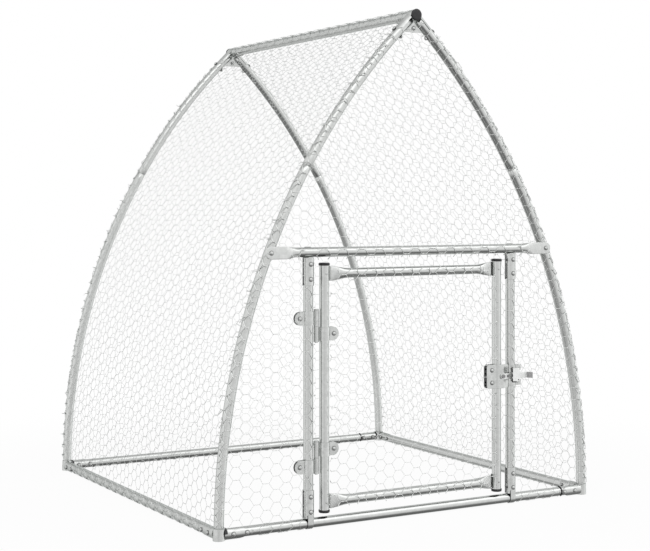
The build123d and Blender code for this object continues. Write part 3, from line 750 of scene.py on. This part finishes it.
for y, out in ENDS.values():
    for side in SIDES.values():
        corner = Vector((side * half_width, y, ground_z))
        for reach in ARM_BOLTS:
            fasten(corner - Vector((side * reach, 0, 0)), SHELL_OUT, tube_r, (0, out, 0))
            fasten(corner - Vector((0, out * reach, 0)), SHELL_OUT, tube_r, (side, 0, 0))
        outward = Vector((side * math.cos(lean), 0, math.sin(lean)))
        fasten(Vector((side * arch_x0, y, ground_z)) + arch_r * outward, SHELL_OUT, tube_r, outward)
    for reach in ARM_BOLTS:
        fasten((0, y - out * reach, ridge_z), SHELL_OUT, tube_r, (0, 0, -1), "rivet")
    fasten((0, y, ridge_z - WEB_DROP), WEB, WEB, (0, out, 0))

for side in SIDES.values():
    for reach in STRAP_BOLTS:
        for z in (ground_z + reach, head_z - reach):
            fasten((side * post_x, front_y, z), SHELL_OUT, SHELL_OUT)
    fasten((side * lug_x, front_y, head_z), LUG_FACE, tube_r)
    for z in (rail_top_z, rail_bottom_z):
        fasten((side * stile_x, front_y, z), tube_r, LUG_FACE, kind="rivet", body="door")
CLAMPS = [(part, place, body, x, sign, middle(f"hinge_{part}_clamp_{place}").z)
          for place in ("upper", "lower")
          for part, body, x, sign in (("post", "frame", -post_x, -1), ("door", "door", -stile_x, 1))]
for _, _, body, x, sign, z in CLAMPS:
    fasten((x + sign * HINGE_BOLT, front_y, z), FLANGE, FLANGE, body=body)
for step in (-0.5, 0.5):
    z = latch_z + step * LATCH_PITCH
    fasten((stile_x - LATCH_BOLT, front_y, z), LATCH_FLANGE, LATCH_FLANGE, body="door")
    z = latch_z + step * KEEPER_PITCH
    fasten((post_x + KEEPER_BOLT, front_y, z), FLANGE, FLANGE, kind="rivet")
print(len(fasteners), "fasteners in", len(fastener_meshes), "lengths")

# %% Turn the end caps
RIDGE_CAP = ((14.5, 0.0), (14.5, 2.7), (15.4, 3.0), (15.6, 4.2), (14.9, 5.4), (12.6, 6.2), (8.6, 6.5))
STILE_CAP = ((14.5, 0.0), (14.5, 3.6), (14.15, 5.3), (13.4, 6.5), (10.5, 6.9))


def end_caps(name, body, node, rings, ends):
    """Plastic caps, each from a place and a direction."""
    for count, end in enumerate(ends):
        mesh = smooth(turned([(36, rings, 0, 0)], "black_cap"))
        mesh.transform(facing(*end))
        place_piece(f"{name}_{count}", mesh, "black_cap", body, node)


ridge_low, ridge_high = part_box("ridge_tube")
end_caps("ridge_cap", "frame", "ridge_end_caps", RIDGE_CAP,
         [((0, y, ridge_z), (0, out, 0)) for y, out in ((ridge_low.y, -1), (ridge_high.y, 1))])
stile_low, stile_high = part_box("door_stile_right")
end_caps("stile_cap", "door", "door_end_caps", STILE_CAP,
         [((side * stile_x, front_y, z), (0, 0, out)) for side in SIDES.values()
          for z, out in ((stile_high.z, 1), (stile_low.z, -1))])
print("6 end caps")

# %% [markdown]
# Post straps
#
# Each door post is held at both ends by a pressed strap. Its half shell clasps the post and is bolted
# through it to a second one. The sheet is hooked over the head bar from behind and round the ground
# tube from the front. A strap is bent from one sheet, so it is made as a sheet here: one grid of points
# for its outside, the same grid further in for its inside, and a rim that closes the two.

# %% Press the straps
STRAP_REACH = 84 * MM
STRAP_START = 13.3 * MM  # shell end from the axis of the bar
STRAP_SPREAD = math.radians(78)
STRAP_BAND = 16 * MM
STRAP_LAP = 22 * MM
STRAP_CORNER = 7 * MM
CORNER_START = 0.65  # share of the spread at which a corner starts
SHELL_IN = 12.65 * MM
SHEET = (SHELL_OUT, SHELL_IN)
# black packing and lining paint the shade in the side gaps and along the edges of each strap
SHADE_PACKING = (SHELL_OUT - 0.3 * MM, SHELL_IN + 0.1 * MM)
SHADE_PACK_PARTS = ((0.04, 0.30), (0.38, 0.97))  # lengths along a shell of the black packing that paints the shade in the gap beside it
SHADE_LINING = (SHELL_IN + 0.6 * MM, tube_r)
SHADE_LINING_LAP = 0.9 * MM  # black lining past the edges of the band, a painted dark outline of shade round it
ROUND_STEPS = 25
LONG_STEPS = 9
QUARTER = math.pi / 2


def sheet_piece(name, sheets, slot, body, *nodes, finish=None):
    """A piece of closed sheets, each between an outer and an inner grid of points."""
    corners, faces, start = [], [], 0
    for outer, inner in sheets:
        count = outer.shape[0] * outer.shape[1]
        grid = start + np.arange(count).reshape(outer.shape[:2])
        quads = points(grid[:-1, :-1], grid[:-1, 1:], grid[1:, 1:], grid[1:, :-1]).reshape(-1, 4)
        rim = np.concatenate([grid[0, :-1], grid[:-1, -1], grid[-1, :0:-1], grid[:0:-1, 0]])
        after = np.roll(rim, -1)
        corners += [outer.reshape(-1, 3), inner.reshape(-1, 3)]
        faces += [quads, quads[:, ::-1] + count, points(after, rim, rim + count, after + count)]
        start += 2 * count
    mesh = new_mesh(name, np.concatenate(corners).tolist(), np.concatenate(faces).tolist())
    shells = bmesh.new()
    shells.from_mesh(mesh)
    bmesh.ops.recalc_face_normals(shells, faces=shells.faces)
    shells.to_mesh(mesh)
    shells.free()
    return place_piece(name, smooth(mesh), slot, body, *nodes, finish=finish)


def strap_shell(x, bar_z, up, way, spread, corner, radii, part=(0.0, 1.0)):
    """Part of a shell along a post, from the bar to a rounded end."""
    turn = np.linspace(-spread, spread, ROUND_STEPS)
    along = np.linspace(*part, LONG_STEPS)[:, None]
    over = np.clip((np.abs(turn) / spread - CORNER_START) / (1 - CORNER_START), 0, 1)
    reach = STRAP_REACH - corner * (1 - np.sqrt(1 - over**2))
    z = bar_z + up * (STRAP_START + along * (reach - STRAP_START))
    return [points(x + radius * np.sin(turn + way), front_y - radius * np.cos(turn + way), z)
            for radius in radii]


def strap_hook(x, bar_z, up, face, bend, band, radii):
    """The band round a bar: face is -1 where it passes before it and 1 behind."""
    flat = np.linspace(STRAP_LAP, 0, 5)[:-1, None]
    turn = np.linspace(0, bend, ROUND_STEPS)[:, None]
    width = x + np.array([-0.5, 0.5]) * band
    layers = []
    for radius in radii:
        straight = points(width, front_y + face * radius, bar_z + up * flat)
        bent = points(width, front_y + face * radius * np.cos(turn), bar_z - up * radius * np.sin(turn))
        layers.append(np.concatenate([straight, bent]))
    return layers


STRAPS = {"ground": (ground_z, 1, -1, math.radians(190)), "head": (head_z, -1, 1, math.radians(85))}
for name, side in SIDES.items():
    for bar, (bar_z, up, face, bend) in STRAPS.items():
        place = (side * post_x, bar_z, up)
        sheets = [strap_shell(*place, way, STRAP_SPREAD, STRAP_CORNER, SHEET) for way in (0, math.pi)]
        sheets.append(strap_hook(*place, face, bend, STRAP_BAND, SHEET))
        round_edges(sheet_piece(f"pressed_strap_{bar}_{name}", sheets, "pressed_fitting", "frame",
                                f"post_strap_{bar}_{name}"))
        # black packing in the side gaps between the shells and a black lining under the band paint the
        # shade at the strap's edges
        sheets = [strap_shell(*place, way, QUARTER - STRAP_SPREAD, 0.0, SHADE_PACKING, part)
                  for way in (-QUARTER, QUARTER) for part in SHADE_PACK_PARTS]
        sheets.append(strap_hook(*place, face, bend, STRAP_BAND + 2 * SHADE_LINING_LAP, SHADE_LINING))
        sheet_piece(f"strap_shade_packing_{bar}_{name}", sheets, "black_cap", "frame")
print("4 straps with their packing")

# %% [markdown]
# Clamps and latch
#
# The hinges and the latch are clamped on their tubes: two plates bolted through their flanges, with black
# packing between them in short lengths between ribs. The packing paints the shade of the gap, which shows
# from the side as a dark line. The front plate of the latch is folded round the stile and bent back
# towards the post, so that it catches the light in three steps. The keeper has a guard before its hook,
# and black trim round the guard paints the shade inside the hook.

# %% Pack the clamps with black sheets that paint the shade in their flange gaps
HINGE_TAB = 23 * MM  # middle of a hinge flange's round end from its tube
HINGE_TAB_R = 16.4 * MM
HINGE_SHADE_PACK = ((16.2, 12.0), (10.8, -7.0), (-8.2, -16.2))  # mm above the middle of the flange
LATCH_SHADE_PACK = ((32.0, 22.3), (17.9, 10.2), (5.8, -14.0), (-17.7, -23.3), (-26.0, -32.0))
LATCH_LEFT = 36.4 * MM
LATCH_CORNER = 6 * MM
PLATE_HALF = 32.5 * MM
SHADE_PACK_START = tube_r + 0.5 * MM
SHADE_PACK_INSET = 2.1 * MM  # from the outer face of a flange


def shade_packing(x, z, sign, half_depth, lengths, outline):
    """Short lengths of black packing between two flanges, out to an outline; they paint the shade of the
    gap.
    """
    sheets = []
    for top, bottom in lengths:
        height = np.linspace(bottom, top, LONG_STEPS)[:, None] * MM
        reach = np.concatenate([np.full_like(height, SHADE_PACK_START), outline(height)], axis=1)
        sheets.append([points(x + sign * reach, front_y + sign * depth, z + height)
                       for depth in (-half_depth, half_depth)])
    return sheets


def hinge_outline(height):
    return HINGE_TAB + np.sqrt(np.maximum(HINGE_TAB_R**2 - height**2, 0))


def latch_outline(height):
    return LATCH_LEFT - np.maximum(np.abs(height) - PLATE_HALF + LATCH_CORNER, 0)


for part, place, body, x, sign, z in CLAMPS:
    sheets = shade_packing(x, z, sign, FLANGE - SHADE_PACK_INSET, HINGE_SHADE_PACK, hinge_outline)
    sheet_piece(f"hinge_shade_packing_{part}_{place}", sheets, "black_cap", body)
sheets = shade_packing(stile_x, latch_z, -1, LATCH_FLANGE - SHADE_PACK_INSET, LATCH_SHADE_PACK, latch_outline)
sheet_piece("latch_shade_packing", sheets, "black_cap", "door")
print("5 packings")

# %% Paint the shade at the ends of the corner arms with black strips
# black strips at the shell ends stand for the dark gap between shell and tube: painted shade
ARM_SHADE_PACKING = (14.9 * MM, 12.6 * MM)  # outer and inner radius
# from and to along the arm, degrees round it below and above its front
ARM_SHADE_PACKS = {"left": (9.0 * MM, 17.4 * MM, 5, 95), "right": (78.1 * MM, 79.7 * MM, -60, 105)}

for end, (y, _) in ENDS.items():
    for name, side in SIDES.items():
        start, stop, low, high = ARM_SHADE_PACKS[name]
        turn = np.radians(np.linspace(low, high, 19))
        x = side * (half_width - np.array([[start], [stop]]))
        strip = [points(x, y - radius * np.cos(turn), ground_z + radius * np.sin(turn))
                 for radius in ARM_SHADE_PACKING]
        sheet_piece(f"arm_shade_packing_{end}_{name}", [strip], "black_cap", "frame")
print("4 strips of packing on the arms")

# %% Fold the latch plate
PLATE_SHEET = 2.0 * MM
PLATE_LAP = 0.6 * MM  # past the black packing that paints the shade of the flange gap
PLATE_RIGHT = 33 * MM
PLATE_CREST = 2 * MM  # the plate is flat from here
PLATE_FLAT = 13 * MM  # to here
PLATE_BACK = 10 * MM  # right edge before the stile's axis


def latch_profile():
    """The plan of the plate: a flange, a bulge round the stile, a flat and a slope."""
    flange_end = -math.sqrt(SHELL_OUT**2 - LATCH_FLANGE**2)
    left = np.linspace(-LATCH_LEFT - PLATE_LAP, flange_end, 14)[:-1]
    turn = np.linspace(math.atan2(LATCH_FLANGE, flange_end), QUARTER, 12)
    flat = np.linspace(PLATE_CREST, PLATE_FLAT, 5)
    slope = np.linspace(PLATE_FLAT, PLATE_RIGHT, 12)[1:]
    fall = (SHELL_OUT - PLATE_BACK) * (slope - PLATE_FLAT) / (PLATE_RIGHT - PLATE_FLAT)
    return np.concatenate([points(left, LATCH_FLANGE), SHELL_OUT * points(np.cos(turn), np.sin(turn)),
                           points(flat, SHELL_OUT), points(slope, SHELL_OUT - fall)])


def folded_plate(profile):
    """The sheet over a plan, with rounded corners seen from the front."""
    across, depth = profile.T
    along_x, along_depth = unit(np.gradient(profile, axis=0)).T
    inset = np.minimum(across - across[0], PLATE_RIGHT - across)
    round_off = np.clip(1 - inset / LATCH_CORNER, 0, 1)
    high = PLATE_HALF - LATCH_CORNER * (1 - np.sqrt(1 - round_off**2))
    z = latch_z + np.linspace(-1, 1, 13)[:, None] * high
    return [points(stile_x + across + inward * along_depth, front_y - depth + inward * along_x, z)
            for inward in (0.0, PLATE_SHEET)]


profile = latch_profile()
round_edges(sheet_piece("latch_face", [folded_plate(profile)], "pressed_fitting", "door",
                        "latch_front_plate"))
print("latch plate of", len(profile), "folds")

# %% Cut the keeper's guard
GUARD = (-11.5, 11.5, -14.5, 21.5)  # mm: left, right, bottom and top
GUARD_BACK = 26.2 * MM  # before the post's axis
GUARD_SHEET = 1.5 * MM
SHADE_TRIM_LIP = 0.2 * MM  # how far the black trim stands before the guard's face; the trim paints the shade inside the hook
# black strips round the guard's edges: painted shade seen inside the keeper's hook
SHADE_TRIM_PARTS = ((-13.4, -11.0, 11.0, 21.0), (-13.4, -11.0, -1.0, 5.5), (-13.4, -11.0, -16.5, -6.5),
              (-11.0, 0.5, -17.0, -14.0), (6.5, 9.5, -12.0, -9.0))
LEVER_FRONT = 18.05 * MM  # front face of the lever from the tube axis
STOP_X = 15 * MM  # a second rivet in the lever, from the first
STOP_DEPTH = 1.2 * MM


def upright_sheet(left, right, bottom, top, thickness):
    """A flat sheet before the right post."""
    x = post_x + np.linspace(left, right, 3) * MM
    z = latch_z + np.linspace(bottom, top, 3)[:, None] * MM
    return [points(x, front_y - depth, z) for depth in (GUARD_BACK + thickness, GUARD_BACK)]


round_edges(sheet_piece("keeper_guard", [upright_sheet(*GUARD, GUARD_SHEET)], "pressed_fitting", "frame",
                        finish="bright_lever"))
# the black trim round the guard paints the shade inside the hook
shade_trims = [upright_sheet(*part, GUARD_SHEET + SHADE_TRIM_LIP) for part in SHADE_TRIM_PARTS]
sheet_piece("keeper_shade_trim", shade_trims, "black_cap", "frame")
fasten((pivot_x + STOP_X, front_y, latch_z), LEVER_FRONT, STOP_DEPTH - LEVER_FRONT,
       kind="dark_rivet", body="latch_lever")
print("guard with", len(shade_trims), "shade_trims")

# %% [markdown]
# Netting
#
# Hexagonal netting is made of wires that all run the same way. Each wire zigzags, and at every turn it
# is twisted once round the neighbour above or below, so a cell has a twisted top and bottom and four
# single slanting sides. A plane with a cell picture on it would look flat from close by, so every wire
# is its own bar here. A net is first laid out flat, in metres along and across the wires. A second
# function then lays that flat net over the tubes.

# %% Lay out one wire
CELL = 32 * MM  # across the flats of a cell
WIRE_R = 0.45 * MM
WIRE_SIDES = 4
TWIST_STEPS = 4
TWIST_SHARE = 0.94  # of the cell's edge length
WOBBLE = 1.6 * MM
edge_length = CELL / math.sqrt(3)
column = 1.5 * edge_length


def scatter(first, second, salt):
    """Repeatable scatter from -1 to 1 for whole numbers."""
    value = np.sin(np.asarray(first) * 12.9898 + np.asarray(second) * 78.233 + salt * 37.719) * 43758.5453
    return 2 * (value - np.floor(value)) - 1


def wire(number, low, high, salt):
    """A wire as (along, across, out of the sheet) from low to high along the net."""
    columns = np.arange(math.floor(low / column) - 1, math.ceil(high / column) + 2)[:, None]
    lower = (columns + number) % 2 == 0
    level = np.where(lower, number, number + 1)
    side = np.where(lower, WIRE_R, -WIRE_R)
    steps = np.arange(TWIST_STEPS + 1) / TWIST_STEPS
    along = columns * column + WOBBLE * scatter(columns, level, salt)
    across = level * CELL / 2 + WOBBLE * scatter(columns, level, salt + 1)
    return points(along + (steps - 0.5) * edge_length * TWIST_SHARE,
                  across + side * np.cos(2 * np.pi * steps),
                  side * np.sin(2 * np.pi * steps)).reshape(-1, 3)


print(f"cells {1000 * CELL:.0f} mm across, wire {2000 * WIRE_R:.1f} mm")

# %% Weave a net
FINE_STEP = 3 * MM
EDGE_ZONE = 50 * MM
BARB = 9 * MM
BARB_RISE = 7 * MM
BARB_CURVE = 1.5
DOUBLED = 30 * MM  # the cut end of a wire is turned back along itself
DOUBLED_START = 1.5  # the higher, the sooner it is at its full thickness
CUT_SCATTER = 5 * MM
SHORTEST = 4  # points of a wire


def divide(path, close):
    """Adds points to the stretches of a wire that bend round a tube."""
    spans = np.linalg.norm(np.diff(path, axis=0), axis=1)
    counts = np.where(close[:-1] | close[1:], np.ceil(spans / FINE_STEP), 1).astype(int)
    index = np.repeat(np.arange(len(spans)), counts)
    share = np.concatenate([np.arange(count) / count for count in counts])[:, None]
    return np.concatenate([path[index] * (1 - share) + path[index + 1] * share, path[-1:]])


def weave(name, node, body, spread, lay, room, blocked, salt):
    """A net of wires. room is the distance to the cut edge, blocked what fittings cover."""
    low, high, bottom, top = spread
    strands = []
    for number in range(math.floor(2 * bottom / CELL) - 1, math.ceil(2 * top / CELL) + 1):
        path = wire(number, low, high, salt)
        along, across, out = divide(path, room(path[:, 0], path[:, 1]) < EDGE_ZONE).T
        spare = room(along, across) + CUT_SCATTER * float(scatter(number, 5, salt))
        kept = (spare > 0) & ~blocked(along, across)
        barb_rise = BARB_RISE * (0.5 + 0.5 * float(scatter(number, 9, salt)))
        out = out + barb_rise * np.clip(1 - spare / BARB, 0, 1)**BARB_CURVE
        radii = WIRE_R * (1 + np.clip(DOUBLED_START * (1 - spare / DOUBLED), 0, 1))
        cuts = np.flatnonzero(np.diff(np.concatenate([[False], kept, [False]]).astype(int)))
        for first, last in zip(cuts[::2], cuts[1::2]):
            if last - first < SHORTEST:
                continue
            run = slice(first, last)
            laid = lay(along[run], across[run], out[run])
            lifted = lay(along[run], across[run], out[run] + 1 * MM)
            strands.append((laid, unit(lifted - laid), radii[run]))
    mesh = sweep(name, strands, WIRE_SIDES)
    place_piece(name, mesh, "netting_wire", body, node)
    print(name, len(strands), "wires,", len(mesh.polygons), "faces")


# %% [markdown]
# Lay the nets over the tubes
#
# The side nets follow the bow and are folded round the arches, the ground tubes and the ridge. The
# flat nets lie against the outside of their tubes and are folded round whatever they end on. Folding is
# the same sum each time: past a tube's axis, the leftover length of wire becomes an angle round it.
# The nets stop at the fittings, and their cut ends stand up a little, as they do on the real thing.

# %% Side nets
FLAT_FOLD = tube_r + 1.1 * MM  # middle of the flat nets' wires from a tube's axis
SIDE_FOLD = tube_r + 3.0 * MM  # the side nets lie over the folded ends of the flat ones
ARM = 82 * MM
COLLAR = 17 * MM
SHELL_ROOM = 16.5 * MM
FOLD = 26 * MM  # wire left for folding round a tube
GROUND_FOLD = 30 * MM
GROUND_LIE = 13.4 * MM  # wires under a ground tube, from its axis
UNDER = 10 * MM  # wire over which they close in on it
PRESSED = 0.95  # share of their lift that goes there
side_length = apex_angle * (arch_r + SIDE_FOLD)


def side_lay(sign):
    """Lays a side net on the bow, folded round the tubes at its edges."""
    def lay(along, across, out):
        under = np.clip(-across / UNDER, 0, 1)
        radius = SIDE_FOLD + (GROUND_LIE - SIDE_FOLD) * under + out * (1 - PRESSED * under)
        y = np.clip(along, front_y, rear_y)
        fold = (along - y) / SIDE_FOLD
        on_bow = np.clip(across, 0, side_length)
        foot = on_bow / (arch_r + SIDE_FOLD)
        angle = foot + (across - on_bow) / SIDE_FOLD
        outward = radius * np.cos(fold)
        x = arch_x0 + arch_r * np.cos(foot) + outward * np.cos(angle)
        z = ground_z + arch_r * np.sin(foot) + outward * np.sin(angle)
        return points(sign * x, y + radius * np.sin(fold), z)
    return lay


def nearest(*edges):
    return np.minimum.reduce(edges)


def side_room(along, across):
    return nearest(along - front_y + FOLD, rear_y + FOLD - along, across + GROUND_FOLD,
                   side_length + FOLD - across)


def side_blocked(along, across):
    from_arch = nearest(along - front_y, rear_y - along)
    leg = (from_arch < SHELL_ROOM) & ((across < COLLAR) | (across > side_length - ARM))
    return leg | ((from_arch < ARM) & (across < SHELL_ROOM))


for side, sign in SIDES.items():
    weave(f"netting_side_{side}", f"side_net_{side}", "frame",
          (front_y - FOLD, rear_y + FOLD, -GROUND_FOLD, side_length + FOLD),
          side_lay(sign), side_room, side_blocked, 3 + sign)

# %% Rear and front nets
HINGE_ROOM = 20 * MM
KEEPER_ROOM = 31 * MM
LUG_ROOM = 56 * MM
POST_FOLD = 18 * MM
ARCH_ROOM = 3 * MM
CAP_ROOM = 1.3 * SHELL_ROOM


def past_arch(x, z):
    """Distance outside the arch's axis, and the angle up the arch."""
    across = np.abs(x) - arch_x0
    return np.hypot(across, z - ground_z) - arch_r, np.arctan2(z - ground_z, across)


def flat_lay(y, out_sign, low_z, inner_x=None):
    """Lays a flat net, folded round the arches, a level tube and perhaps a post."""
    def lay(x, z, out):
        under = np.clip((ground_z - z) / UNDER, 0, 1)
        beyond, angle = past_arch(x, z)
        stand = 1 + np.clip(beyond / FOLD, 0, 1) - PRESSED * under
        radius = FLAT_FOLD + (GROUND_LIE - FLAT_FOLD) * under + out * stand
        arch_fold = np.maximum(beyond, 0) / FLAT_FOLD
        low_fold = np.maximum(low_z - z, 0) / FLAT_FOLD
        depth = radius * np.cos(arch_fold) * np.cos(low_fold)
        on_arch = beyond > 0
        reach = arch_r + radius * np.sin(arch_fold)
        new_x = np.where(on_arch, np.sign(x) * (arch_x0 + reach * np.cos(angle)), x)
        new_z = np.where(on_arch, ground_z + reach * np.sin(angle), z)
        new_z = np.where(low_fold > 0, low_z - radius * np.sin(low_fold), new_z)
        if inner_x is not None:
            post_fold = np.maximum(inner_x - np.abs(x), 0) / FLAT_FOLD
            new_x = np.where(post_fold > 0, np.sign(x) * (inner_x - radius * np.sin(post_fold)), new_x)
            depth = depth * np.cos(post_fold)
        return points(new_x, y + out_sign * depth, new_z)
    return lay


def flat_room(low_z, low_fold, sign=0):
    """Distance to the cut edge of a flat net, or of a strip beside the door."""
    def room(x, z):
        edge = nearest(FOLD - past_arch(x, z)[0], z - low_z + low_fold)
        return nearest(edge, sign * x - post_x + POST_FOLD, head_z + tube_r / 2 - z) if sign else edge
    return room


def corner_blocked(x, z):
    """Where the pressed corner and apex fittings cover a flat net."""
    beyond, angle = past_arch(x, z)
    arm = (half_width - np.abs(x) < ARM) & (z < ground_z + SHELL_ROOM)
    near_end = (z < ground_z + COLLAR) | ((apex_angle - angle) * arch_r < ARM)
    cap = np.hypot(x, z - ridge_z) < CAP_ROOM
    return arm | ((beyond > ARCH_ROOM) & near_end) | cap


def front_blocked(x, z):
    """The same with the door's own fittings on the front."""
    from_post = np.abs(np.abs(x) - post_x)
    near_end = ((z > head_z - ARM) | (z < ground_z + ARM)) & (z < head_z + SHELL_ROOM)
    lug = (np.abs(x) > lug_x - LUG_ROOM) & (np.abs(z - head_z) < SHELL_ROOM)
    held = (x > 0) & (np.abs(z - latch_z) < KEEPER_ROOM)
    for part, _, _, _, _, clamp_z in CLAMPS:
        if part == "post":
            held |= (x < 0) & (np.abs(z - clamp_z) < HINGE_ROOM)
    fitted = ((from_post < SHELL_ROOM) & near_end) | ((from_post < HINGE_ROOM) & held)
    return corner_blocked(x, z) | lug | fitted


whole_width = (-half_width - FOLD, half_width + FOLD)
weave("netting_rear", "rear_net", "frame", (*whole_width, 0, ridge_z),
      flat_lay(rear_y, 1, ground_z), flat_room(ground_z, GROUND_FOLD), corner_blocked, 11)
weave("netting_front_upper", "front_net_upper", "frame", (*whole_width, head_z - FOLD, ridge_z),
      flat_lay(front_y, -1, head_z), flat_room(head_z, POST_FOLD), front_blocked, 12)
for side, sign in SIDES.items():
    weave(f"netting_front_{side}", f"front_net_{side}", "frame", (*whole_width, 0, head_z),
          flat_lay(front_y, -1, ground_z, post_x), flat_room(ground_z, GROUND_FOLD, sign),
          front_blocked, 14 + sign)

# %% Door net
STILE_LAP = 10 * MM
RAIL_FOLD = 9 * MM
PLATE_ROOM = 2 * MM


def door_lay(x, z, out):
    return points(x, front_y - FLAT_FOLD - out, z)


def door_room(x, z):
    return nearest(stile_x - STILE_LAP - np.abs(x), rail_top_z + RAIL_FOLD - z,
                   z - rail_bottom_z + RAIL_FOLD)


def door_blocked(x, z):
    """Where the latch and the door's hinge clamps cover the net."""
    covered = (stile_x - x < LATCH_LEFT + PLATE_ROOM) & (np.abs(z - latch_z) < PLATE_HALF + PLATE_ROOM)
    for part, _, _, _, _, clamp_z in CLAMPS:
        if part == "door":
            covered |= np.hypot(x + stile_x - HINGE_TAB, z - clamp_z) < HINGE_TAB_R + PLATE_ROOM
    return covered


weave("netting_door", "door_net", "door", (-stile_x, stile_x, rail_bottom_z - FOLD, rail_top_z + FOLD),
      door_lay, door_room, door_blocked, 21)

# %% [markdown]
# Sizes
#
# Dressing a part must not change how big it is. The box of the finished coop is printed at the end.

# %% Print the box of the finished coop
low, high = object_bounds()
print("visual box", [round(value, 4) for value in (*low, *high)])
